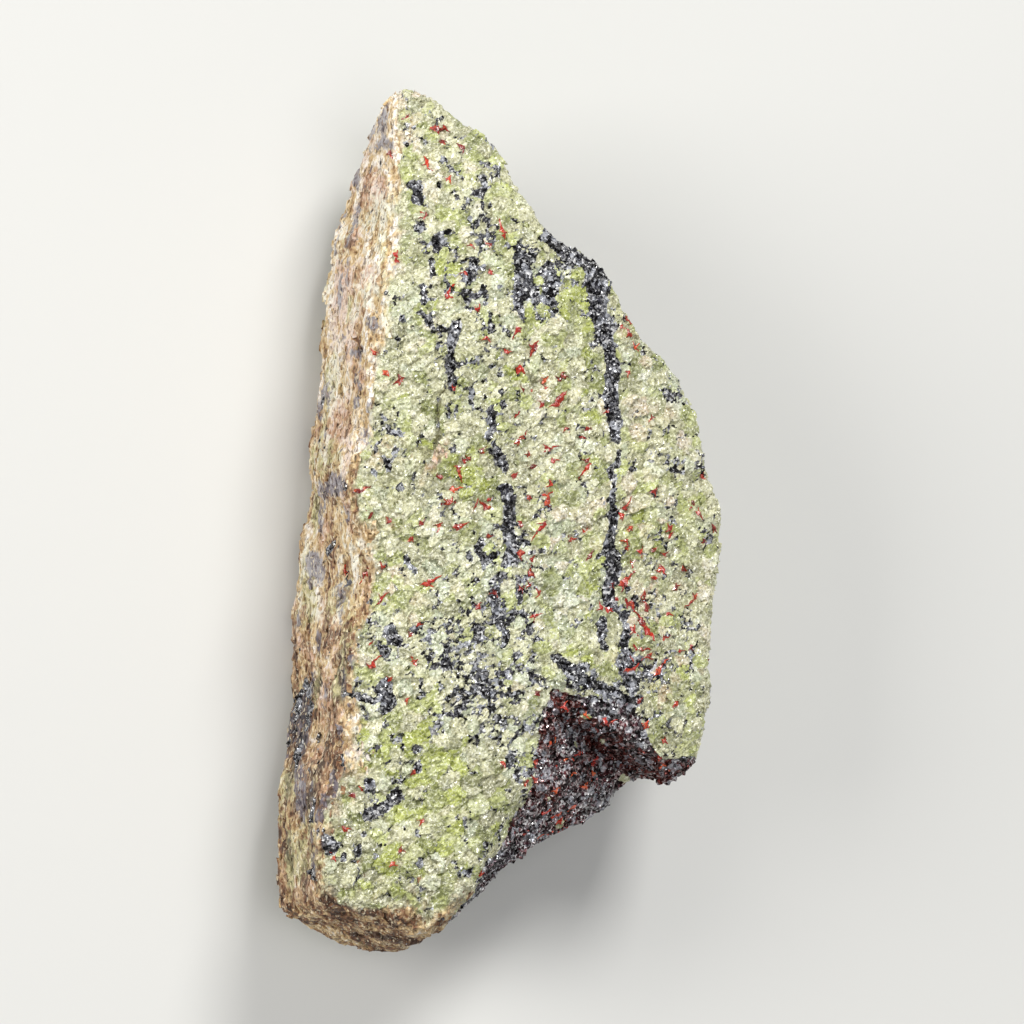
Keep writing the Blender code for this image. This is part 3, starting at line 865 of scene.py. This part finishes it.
def shaded(name, colour_of, roughness, ior, glint=None, **plain):
    """A material that gets its colour from a function, and plain values on its other sockets."""
    made = bpy.data.materials.new(name)
    made.use_nodes = True
    tree = made.node_tree
    shader = tree.nodes["Principled BSDF"]
    tree.links.new(colour_of(tree), shader.inputs["Base Color"])
    shader.inputs["Roughness"].default_value = roughness
    shader.inputs["IOR"].default_value = ior
    for key, value in plain.items():
        shader.inputs[key.replace("_", " ")].default_value = value
    if glint:
        tree.links.new(glitter(tree, *glint), shader.inputs["Normal"])
    return made


def willemite_colour(tree):
    """Pale yellow-green glass in grains: some clear green, some icy or chalky, stained brown in patches."""
    labels = ("green", "stain", "pale", "seam", "crease", "shade_dice", "green_dice", "pale_dice")
    read_out = [node(tree, "Attribute", {"attribute_name": label})["Fac"] for label in labels]
    green, stain, pale, seam, crease, shade_dice, green_dice, pale_dice = read_out
    where = node(tree, "TexCoord")["Object"]
    flaws = node(tree, "TexNoise", None, {"Vector": where, "Scale": 1.0 / (FLAW * MM), "Detail": 3.0})
    flaw = node(tree, "MapRange", None, {0: flaws["Fac"], 1: 0.3, 2: 0.7, 3: -0.15, 4: 0.45})
    inputs = {0: shade_dice, 1: 0.58, 2: flaw[0]}
    tone = node(tree, "Math", {"operation": "MULTIPLY_ADD"}, inputs)[0]
    kinds = [
        shades("willemite", (0.0, 0.52), (0.3, 0.76), (0.6, 1.0), (0.85, 1.22), (1.0, 1.52)),
        shades("willemite_icy", (0.0, 0.68), (0.5, 1.0), (1.0, 1.58)),
        shades("willemite_stained", (0.0, 0.48), (0.45, 1.0), (0.8, 1.24), (1.0, 1.58)),
        shades("willemite_clear", (0.0, 0.42), (0.4, 0.70), (0.75, 1.0), (1.0, 1.50)),
    ]
    ramps = [node(tree, "ValToRGB", None, {0: tone}, stops)["Color"] for stops in kinds]
    usual, icy, stained, clear = ramps
    shares = []
    regions = ((pale, pale_dice, 0.32), (stain, shade_dice, 0.10), (green, green_dice, 0.40))
    for regional, own, common in regions:
        share = node(tree, "Math", {"operation": "MULTIPLY_ADD"}, {0: own, 1: 1.2, 2: common - 1.0})
        share = node(tree, "Math", None, {0: share[0], 1: regional})[0]
        shares.append(node(tree, "MapRange", None, {0: share, 1: 0.15, 2: 0.55})[0])
    pale_share, stain_share, clear_share = shares
    rim = node(tree, "MapRange", None, {0: seam, 1: 0.02, 2: 0.18, 3: 0.45, 4: 0.0})[0]
    gem = node(tree, "Math", None, {0: green, 1: green_dice})[0]
    gem = node(tree, "MapRange", None, {0: gem, 1: 1.12, 2: 1.22, 3: 0.0, 4: 0.5})[0]
    cracks = node(tree, "TexNoise", None, {"Vector": where, "Scale": 1.0 / (CRACK * MM), "Detail": 2.0})
    off = node(tree, "Math", {"operation": "SUBTRACT"}, {0: cracks["Fac"], 1: 0.5})[0]
    off = node(tree, "Math", {"operation": "ABSOLUTE"}, {0: off})[0]
    crack = node(tree, "MapRange", None, {0: off, 1: 0.0, 2: 0.03, 3: 0.55, 4: 0.0})[0]
    # Painted shade (#5a4c30) at the foot of the ledges and painted highlight (#f0f1dc) along their upper
    # edges
    deep = node(tree, "Math", {"operation": "MULTIPLY"}, {0: crease, 1: 0.85})[0]
    painted_lip_highlight = node(tree, "Math", {"operation": "MULTIPLY"}, {0: crease, 1: -1.0})[0]
    rock = layered(tree, usual, [(pale_share, icy), (stain_share, stained), (rim, linear("#98967a"))])
    specks = [(0.16, "#f0efd6", 0.62), (0.14, "#6a6440", 0.55), (0.12, "#a5a274", 0.5)]
    rock = specked(tree, rock, 0.24, specks)
    over = [(clear_share, clear), (gem, linear("#b2bb52")), (crack, linear("#f2f2e2"))]
    return layered(tree, rock, [*over, (deep, linear("#5a4c30")), (painted_lip_highlight, linear("#f0f1dc"))])


def willemite_material():
    """Willemite, broken: a vitreous zinc silicate, clouded by fine fractures. Its small faces glitter."""
    return shaded("willemite_broken_glassy", willemite_colour, 0.24, 1.70, (0.34, 0.90))


def franklinite_colour(tree):
    """Iron black, with painted glints: its palest cells and specks stand for light caught by the faces of
    fine grains. Red-brown in the notch, and darker with painted shade on the notch's steep wall.
    """
    where = node(tree, "TexCoord")["Object"]
    faces = node(tree, "TexVoronoi", None, {"Vector": where, "Scale": 1.0 / (BLACK_GLINT_CELL * MM)})
    face = node(tree, "SeparateColor", None, {0: faces["Color"]})[0]
    # The top of each ramp, mixed towards white, is painted glint: light caught by the faces of fine grains
    kinds = [
        shades("franklinite", (0.0, 0.04), (0.26, 0.21), (0.52, 1.0), (0.76, 1.19), (1.0, 1.78)),
        shades("franklinite_warm", (0.0, 0.05), (0.28, 0.24), (0.50, 1.0), (0.70, 1.24), (0.9, 1.9)),
        shades("franklinite_rusty_shaded", (0.0, 0.06), (0.40, 0.36), (0.75, 1.0), (0.92, 1.08), (1.0, 1.45)),
    ]
    cold, *rusted_and_shaded = (node(tree, "ValToRGB", None, {0: face}, stops)["Color"] for stops in kinds)
    # Past half, the rust number mixes in the steep wall's ramp, which is rust darkened with painted shade
    rust_and_shade_share = node(tree, "Attribute", {"attribute_name": "rust"})["Fac"]
    shares = [node(tree, "MapRange", None, {0: rust_and_shade_share, 1: low, 2: low + 0.5})[0] for low in (0.0, 0.5)]
    metal = layered(tree, cold, zip(shares, rusted_and_shaded))
    # The pale specks are painted glints
    return specked(tree, metal, 0.8, [(0.30, "#060203", 0.88), (0.24, "#c4c7d0", 0.55)])


def franklinite_material():
    """Franklinite: a black iron and zinc oxide with a half-metallic shine on its octahedral faces."""
    return shaded("franklinite_submetallic", franklinite_colour, 0.26, 1.5, (0.32, 1.6), Metallic=0.7)


def zincite_colour(tree):
    """Deep red that thin grains turn to orange."""
    tone = node(tree, "Attribute", {"attribute_name": "tone"})["Fac"]
    stops = [*shades("zincite", (0.0, 0.25), (0.45, 0.65), (0.8, 1.0)), *shades("zincite_thin", (1.0, 1.0))]
    colour = node(tree, "ValToRGB", None, {0: tone}, stops)["Color"]
    return specked(tree, colour, 0.3, [(0.2, "#4c0806", 0.7), (0.15, "#e06a3c", 0.5)])


def zincite_material():
    """Zincite: red zinc oxide, nearly as glossy as diamond, in thin plates between the other grains."""
    return shaded("zincite_adamantine", zincite_colour, 0.25, 2.0, (0.35, 0.5))


def crust_colour(tree):
    """From dark brown through tan to cream, drawn out along the joint, with patches of other shades."""
    labels = ("shade", "clay", "rose", "moss")
    read_out = [node(tree, "Attribute", {"attribute_name": label})["Fac"] for label in labels]
    shade, clay, rose, moss = read_out
    where = node(tree, "TexCoord")["Object"]
    drawn = node(tree, "VectorMath", {"operation": "MULTIPLY"}, {0: where, 1: (1.0, 0.75, 1.0)})[0]
    inputs = {"Vector": drawn, "Scale": 1.0 / (STAIN * MM), "Detail": 4.0}
    small = node(tree, "TexNoise", None, inputs)["Fac"]
    wander = node(tree, "MapRange", None, {0: small, 1: 0.3, 2: 0.7, 3: -0.40, 4: 0.34})
    tone = node(tree, "Math", None, {0: wander[0], 1: shade})[0]
    tan = shades("crust", (0.6, 1.0), (0.8, 1.22), (1.0, 1.70))
    kinds = [
        [*shades("crust_brown", (0.0, 0.28), (0.2, 1.0)), *tan],
        shades("crust_rosy", (0.0, 0.12), (0.35, 0.46), (0.65, 1.0), (1.0, 1.40)),
        shades("crust_mossy", (0.0, 0.18), (0.35, 0.56), (0.65, 1.0), (1.0, 1.50)),
        shades("crust_grey", (0.0, 0.28), (0.5, 1.0), (1.0, 1.27)),
    ]
    usual, *others = (node(tree, "ValToRGB", None, {0: tone}, stops)["Color"] for stops in kinds)
    shares = []
    for patch, low in ((rose, 0.70), (moss, 0.65), (clay, 0.80)):
        left = node(tree, "Math", None, {0: patch, 1: small})[0]
        shares.append(node(tree, "MapRange", None, {0: left, 1: low, 2: low + 0.25, 3: 0.0, 4: 0.95})[0])
    specks = [(0.15, "#f4e6c6", 0.55), (0.16, "#4c3626", 0.65), (0.10, "#a07a54", 0.45)]
    return specked(tree, layered(tree, usual, zip(shares, others)), 0.26, specks, 2.2)


def crust_material():
    """The weathered joint face: the same grains, dulled and stained by iron. It gives no shine."""
    return shaded("weathered_joint_crust", crust_colour, 0.72, 1.5, (0.4, 0.7))


def skin_colour(tree):
    """The rock itself: green grains, black in the seams and streaks, tan and brown under the crust."""
    labels = ("crust", "black")
    crust, black = (node(tree, "Attribute", {"attribute_name": label})["Fac"] for label in labels)
    where = node(tree, "TexCoord")["Object"]
    ragged = node(tree, "TexNoise", None, {"Vector": where, "Scale": 1.0 / (BLACK_EDGE * MM), "Detail": 2.0})
    inputs = {0: ragged["Fac"], 1: 0.30, 2: black}
    edge = node(tree, "Math", {"operation": "MULTIPLY_ADD"}, inputs)[0]
    share = node(tree, "MapRange", None, {0: edge, 1: 0.13, 2: 0.17})[0]
    over = [(crust, crust_colour(tree)), (share, franklinite_colour(tree))]
    return layered(tree, willemite_colour(tree), over)


def skin_material():
    """The mass of the rock: glassy where it is fresh, dull where it is weathered."""
    made = shaded("willemite_ore_mass", skin_colour, 0.30, 1.65, (0.34, 0.95))
    tree = made.node_tree
    crust = node(tree, "Attribute", {"attribute_name": "crust"})["Fac"]
    dull = node(tree, "MapRange", None, {0: crust, 3: 0.26, 4: 0.75})[0]
    tree.links.new(dull, tree.nodes["Principled BSDF"].inputs["Roughness"])
    return made


def colour(name, description, code):
    """A colour property with an sRGB hex colour as its default."""
    plain = linear(code)[:3]
    return bpy.props.FloatVectorProperty(name=name, description=description, default=plain, subtype="COLOR")


def length(name, description, metres):
    """A length property."""
    return bpy.props.FloatProperty(
        name=name, description=description, default=metres, unit="LENGTH", precision=5
    )


class OreColours(bpy.types.PropertyGroup):
    """Middle colours of the minerals. Their darker and paler shades are made from them."""

    willemite: colour("Willemite", "Usual willemite", "#c9c8a3")
    willemite_icy: colour("Icy willemite", "Willemite with many fine fractures", "#bec5a8")
    willemite_stained: colour("Stained willemite", "Willemite with rust in its fractures", "#b49f7a")
    willemite_clear: colour("Clear willemite", "Willemite without fractures", "#c1c785")
    franklinite: colour("Franklinite", "Franklinite between the willemite grains", "#484851")
    franklinite_warm: colour("Warm franklinite", "Franklinite in the notch", "#6c2d34")
    # Rust darkened with painted shade, for the notch's steep wall
    franklinite_rusty_shaded: colour("Rusty franklinite", "Franklinite on the notch's steep wall", "#6e2a22")
    zincite: colour("Zincite", "Zincite", "#bd2812")
    zincite_thin: colour("Thin zincite", "Zincite so thin that light comes through", "#dc6230")
    crust: colour("Crust", "Usual weathered rock", "#ccb284")
    crust_brown: colour("Brown crust", "The darkest weathered rock", "#80573a")
    crust_rosy: colour("Rosy crust", "Weathered rock with red iron in it", "#c2997a")
    crust_mossy: colour("Greenish crust", "Weathered rock where the willemite shows", "#c3bb8b")
    crust_grey: colour("Grey crust", "Clay left on the weathered rock", "#6d656f")


class OreSizes(bpy.types.PropertyGroup):
    """Sizes of the rock's skin and grains."""

    skin_net: length("Skin net", "Edge of the net on the hidden sides, twice the fresh face's", 0.00065)
    grain: length("Grain", "Usual width of a willemite grain", 0.0019)
    facet: length("Facet", "Usual width of a facet of a broken grain", 0.0007)
    inset: length("Inset", "How far the skin lies inside the solid, so that grains have room", 0.00020)
    willemite_chip: length("Willemite chip", "Usual size of a green chip", 0.00046)
    franklinite_grain: length("Franklinite grain", "Usual size of a black grain", 0.00044)
    crust_chip: length("Crust chip", "Usual size of a weathered chip", 0.00050)
    packing: bpy.props.FloatProperty(
        name="Packing", description="Room of a black grain as a share of its size", default=0.85, min=0.3
    )
    spacing: bpy.props.FloatProperty(
        name="Spacing", description="Room of a green chip as a share of its size", default=2.2, min=0.3
    )
    trial_grains: bpy.props.IntProperty(
        name="Trial grains", description="How many places are tried for a grain", default=120000, min=1000
    )


def finish(piece, material):
    """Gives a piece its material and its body."""
    piece.data.materials.clear()
    piece.data.materials.append(material)
    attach(piece, "root")


class ORE_OT_skin(bpy.types.Operator):
    """Build the rock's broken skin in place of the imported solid"""

    bl_idname = "ore.skin"
    bl_label = "Broken skin"

    def execute(self, context):
        skin = broken_skin()
        grains = rock_grains(skin.places)
        values = {"crust": skin.crust, "black": blackness(skin.places, grains, skin.crust)}
        values.update(rock_colours(skin.places, grains))
        values.update({**crust_colours(skin.places), **rust_and_shade_colours(skin.places)})
        piece = write("ore_mass", skin.places, skin.triangles, values)
        finish(piece, skin_material())
        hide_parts(NODE)
        return {"FINISHED"}


def set_grains(name, kind, shapes, build, seeds, colours_of, material):
    """Sets the grains of one kind into the skin as two pieces, one of them on the fresh face."""
    places, normals, kinds, size = grain_sites()
    front = normals[:, 2] > 0.5
    for half, shown, seed in zip(HALVES, (front, ~front), seeds):
        mine = (kinds == kind) & shown
        sites = (places[mine], normals[mine], size[mine])
        piece = crystals(f"{name}_{half}", *sites, shapes, build, seed, colours_of(places[mine]))
        finish(piece, material)


def chip_colours(places):
    """The rock's colours, for chips that have no seams in them."""
    return {**rock_colours(places, rock_grains(places)), "seam": np.ones(len(places))}


class ORE_OT_willemite(bpy.types.Operator):
    """Set the glassy green chips into the skin"""

    bl_idname = "ore.willemite"
    bl_label = "Willemite chips"

    def execute(self, context):
        shapes = forms(blocky, 16, 81) + forms(chip, 8, 82)
        made = willemite_material()
        set_grains("willemite_chips", GREEN, shapes, GREEN_BUILD, (83, 84), chip_colours, made)
        return {"FINISHED"}


class ORE_OT_franklinite(bpy.types.Operator):
    """Set the black grains into the skin"""

    bl_idname = "ore.franklinite"
    bl_label = "Franklinite grains"

    def execute(self, context):
        shapes = forms(octahedral, 6, 91) + forms(blocky, 6, 92)
        made = franklinite_material()
        set_grains(
            "franklinite_grains", BLACK, shapes, BLACK_BUILD, (93, 94), rust_and_shade_colours, made
        )
        return {"FINISHED"}


class ORE_OT_crust(bpy.types.Operator):
    """Set the dull chips of the weathered face into the skin"""

    bl_idname = "ore.crust"
    bl_label = "Weathered crust chips"

    def execute(self, context):
        places, normals, kind, size = grain_sites()
        mine = kind == CRUST
        shapes = forms(blocky, 10, 101) + forms(chip, 6, 102)
        colours = crust_colours(places[mine])
        colours["shade"] += np.random.default_rng(104).normal(0.0, 0.14, mine.sum())
        sites = (places[mine], normals[mine], size[mine])
        piece = crystals("crust_chips", *sites, shapes, CRUST_BUILD, 103, colours, CHIP_LENGTH)
        finish(piece, crust_material())
        return {"FINISHED"}


def first_hit(pieces, start, direction):
    """Where a line first meets one of the pieces."""
    nearest = None
    for piece in pieces:
        hit, place, _, _ = piece.ray_cast(Vector(start) * MM, Vector(direction))
        if hit:
            far = (np.array(place) / MM - start) @ direction
            if nearest is None or far < nearest[0]:
                nearest = (far, np.array(place) / MM)
    return nearest and nearest[1]


def sliver(path, facing, width):
    """The places and triangles of a closed sliver along a path, which narrows to nothing at both ends."""
    run = np.gradient(path, axis=0)
    run /= np.linalg.norm(run, axis=1)[:, None]
    side = np.cross(facing, run)
    side /= np.linalg.norm(side, axis=1)[:, None]
    half = 0.5 * width[:, None]
    top, foot = path + facing * ZINCITE_TOP, path - facing * ZINCITE_FOOT
    places = np.stack([path + side * half, top, path - side * half, foot], axis=1).reshape(-1, 3)
    triangles = []
    for i in range(len(path) - 1):
        for k in range(4):
            a, b = 4 * i + k, 4 * i + (k + 1) % 4
            triangles += [(a, b, b + 4), (a, b + 4, a + 4)]
    last = len(places) - 4
    triangles += [(0, 2, 1), (0, 3, 2), (last, last + 1, last + 2), (last, last + 2, last + 3)]
    return places, np.array(triangles)


def walk(start, heading, facing, steps, wander, dice):
    """Places of a short walk over the rock that keeps to the seams between the grains."""
    path = [start]
    for _ in range(steps):
        heading = heading + wander * dice.normal(size=3)
        heading -= facing * (heading @ facing)
        heading /= np.linalg.norm(heading)
        path.append(to_seams((path[-1] + heading * SEAM_WALK)[None], 0.5)[0])
    return np.array(path)


def to_seams(places, share):
    """Moves places part of the way to the nearest seam between two grains."""
    grains = rock_grains(places)
    return places + grains.across * (share * np.minimum(grains.seam, 0.6))[:, None]


def vein_paths(pieces, skin, dice):
    """Paths of the zincite in millimetres, the way the rock faces along them, and their widths."""
    for width, *numbers in VEINS:
        corners = np.array(paired(numbers), float)
        lengths = np.concatenate([[0.0], np.cumsum(np.linalg.norm(np.diff(corners, axis=0), axis=1))])
        steps = max(4, int(lengths[-1] / STROKE_STEP) + 1)
        at = np.linspace(-STROKE_BEYOND, lengths[-1] + STROKE_BEYOND, steps)
        spots = np.stack([np.interp(at, lengths, corners[:, i]) for i in range(2)], axis=1)
        spots += (at - np.clip(at, 0.0, lengths[-1]))[:, None] * np.sign(corners[-1] - corners[0])
        spots += dice.normal(0.0, 0.5, spots.shape)
        hits = [first_hit(pieces, *from_picture(spot)) for spot in spots]
        if all(hit is not None for hit in hits):
            yield to_seams(np.array(hits), 0.45), width * PIXEL
    starts, facing, weathered = over_surface(skin, ZINCITE_STARTS, dice)
    near = noise(starts, 8.0, 113) + 0.4 * noise(starts, 2.5, 114)
    hidden = (starts[:, 2] > 1.2) & (starts[:, 2] < 24.0) & (near > 0.38) & (weathered < 0.3)
    front = facing[:, 2] > 0.6
    shown = front & (dice.random(len(starts)) < 0.16 * patches(in_picture(starts), starts, RED_PATCHES, 115))
    for i in np.concatenate([np.flatnonzero(hidden & ~front)[:ZINCITE_HIDDEN], np.flatnonzero(shown)]):
        heading = np.cross(facing[i], dice.normal(size=3))
        yield walk(starts[i], heading, facing[i], dice.integers(2, 6), 0.5, dice), dice.uniform(0.30, 0.65)


class ORE_OT_zincite(bpy.types.Operator):
    """Press the red zincite in between the grains"""

    bl_idname = "ore.zincite"
    bl_label = "Zincite"

    def execute(self, context):
        # A plate lies on what the camera sees first: the mass of the rock, a green chip or a black grain
        kinds = ("willemite_chips", "franklinite_grains")
        names = ["ore_mass", *(f"{kind}_{half}" for kind in kinds for half in HALVES)]
        pieces = [bpy.data.objects[name] for name in names]
        skin = broken_skin()
        tree = point_tree(skin.places)
        dice = np.random.default_rng(111)
        all_places, all_triangles, tones = [], [], []
        start = 0
        for path, width in vein_paths(pieces, skin, dice):
            tone = limited(dice.normal(0.45, 0.22) + 0.4 * inside(in_picture(path[:1]), NOTCH)[0])
            knot = dice.integers(1, len(path) - 1)
            faces = skin.normals[tree.find(path[knot])[1]]
            across = np.cross(faces, path[-1] - path[0]) * dice.choice((-1.0, 1.0))
            arm = walk(path[knot], across / np.linalg.norm(across), faces, 3, 0.4, dice)
            for line, middle, share in ((path, knot / (len(path) - 1), 1.0), (arm, 0.0, 0.75)):
                facing = np.array([skin.normals[tree.find(place)[1]] for place in line])
                below = np.array([skin.places[tree.find(place)[1]] for place in line])
                line = line - facing * np.einsum("ij,ij->i", line - below, facing)[:, None] + facing * 0.08
                at = np.linspace(0.0, 1.0, len(line))
                swell = 0.40 + 1.0 * np.exp(-(((at - middle) / 0.24) ** 2))
                taper = np.clip(6.0 * np.minimum(at + (middle == 0.0), 1.0 - at), 0.05, 1.0)
                widths = share * width * swell * taper * dice.uniform(0.8, 1.2, len(line))
                places, triangles = sliver(line, facing, widths)
                all_places.append(places)
                all_triangles.append(triangles + start)
                tones.append(np.full(len(places), tone))
                start += len(places)
        places = np.vstack(all_places)
        places[:, 2] = np.maximum(places[:, 2], 0.0)
        piece = write("zincite_wedges", places, np.vstack(all_triangles), {"tone": np.concatenate(tones)})
        finish(piece, zincite_material())
        return {"FINISHED"}


def area_light(name, place, size, power, colour):
    """A soft light that looks at the middle of the rock."""
    lamp = bpy.data.lights.new(name, "AREA")
    lamp.shape = "SQUARE"
    lamp.size = size
    lamp.energy = power
    lamp.color = linear(colour)[:3]
    holder = bpy.data.objects.new(name, lamp)
    holder.location = place
    aim = Vector((0.0, 0.0, 0.02)) - Vector(place)
    holder.rotation_euler = aim.to_track_quat("-Z", "Y").to_euler()
    bpy.context.scene.collection.objects.link(holder)


def floor_colour(tree):
    """Off-white with a faint cloudiness."""
    where = node(tree, "TexCoord")["Object"]
    cloud = node(tree, "TexNoise", None, {"Vector": where, "Scale": 2.5})
    stops = [(0.3, linear("#c9c9c7")), (0.7, linear("#cfcfcd"))]
    return node(tree, "ValToRGB", None, {0: cloud["Fac"]}, stops)["Color"]


class ORE_OT_stage(bpy.types.Operator):
    """Add the pale floor, the soft lights and the camera"""

    bl_idname = "ore.stage"
    bl_label = "Stage"

    def execute(self, context):
        shape = bmesh.new()
        bmesh.ops.create_grid(shape, x_segments=1, y_segments=1, size=1.5)
        mesh = bpy.data.meshes.new("floor")
        shape.to_mesh(mesh)
        shape.free()
        floor = bpy.data.objects.new("floor", mesh)
        # A hair below the flat underside of the rock, so that the two don't share a plane
        floor.location.z = -0.00005
        context.scene.collection.objects.link(floor)
        mesh.materials.append(shaded("matt_paper_floor", floor_colour, 0.9, 1.45))
        for light in LIGHTS:
            area_light(*light)
        world = bpy.data.worlds.new("soft_room")
        world.use_nodes = True
        world.node_tree.nodes["Background"].inputs["Color"].default_value = linear("#f0f1f2")
        world.node_tree.nodes["Background"].inputs["Strength"].default_value = 0.25
        context.scene.world = world
        context.scene.view_settings.view_transform = "Standard"
        back, right, up = camera_axes()
        lens = bpy.data.cameras.new("camera")
        lens.sensor_width = SENSOR
        lens.lens = SENSOR * DISTANCE / PIXEL / PICTURE
        lens.clip_start = 0.01
        camera = bpy.data.objects.new("camera", lens)
        camera.location = (np.array(LOOKS_AT) + back * DISTANCE) * MM
        camera.rotation_euler = Matrix(np.stack([right, up, back], axis=1).tolist()).to_euler()
        context.scene.collection.objects.link(camera)
        context.scene.camera = camera
        return {"FINISHED"}


OPERATORS = [ORE_OT_skin, ORE_OT_willemite, ORE_OT_franklinite, ORE_OT_crust, ORE_OT_zincite, ORE_OT_stage]


class ORE_PT_panel(bpy.types.Panel):
    """Lists the steps in order"""

    bl_idname = "ORE_PT_panel"
    bl_label = "Willemite ore"
    bl_space_type = "VIEW_3D"
    bl_region_type = "UI"
    bl_category = "Ore"

    def draw(self, context):
        for group in (context.scene.ore_sizes, context.scene.ore_colours):
            for label in group.__annotations__:
                self.layout.prop(group, label)
        for operator in OPERATORS:
            self.layout.operator(operator.bl_idname)


def register():
    for made in [OreSizes, OreColours, *OPERATORS, ORE_PT_panel]:
        bpy.utils.register_class(made)
    bpy.types.Scene.ore_sizes = bpy.props.PointerProperty(type=OreSizes)
    bpy.types.Scene.ore_colours = bpy.props.PointerProperty(type=OreColours)


def unregister():
    del bpy.types.Scene.ore_colours
    del bpy.types.Scene.ore_sizes
    for made in [ORE_PT_panel, *reversed(OPERATORS), OreColours, OreSizes]:
        bpy.utils.unregister_class(made)


def main():
    register()
    bpy.ops.ore.skin()
    bpy.ops.ore.willemite()
    bpy.ops.ore.franklinite()
    bpy.ops.ore.crust()
    bpy.ops.ore.zincite()
    bpy.ops.ore.stage()


if __name__ == "__main__":
    main()
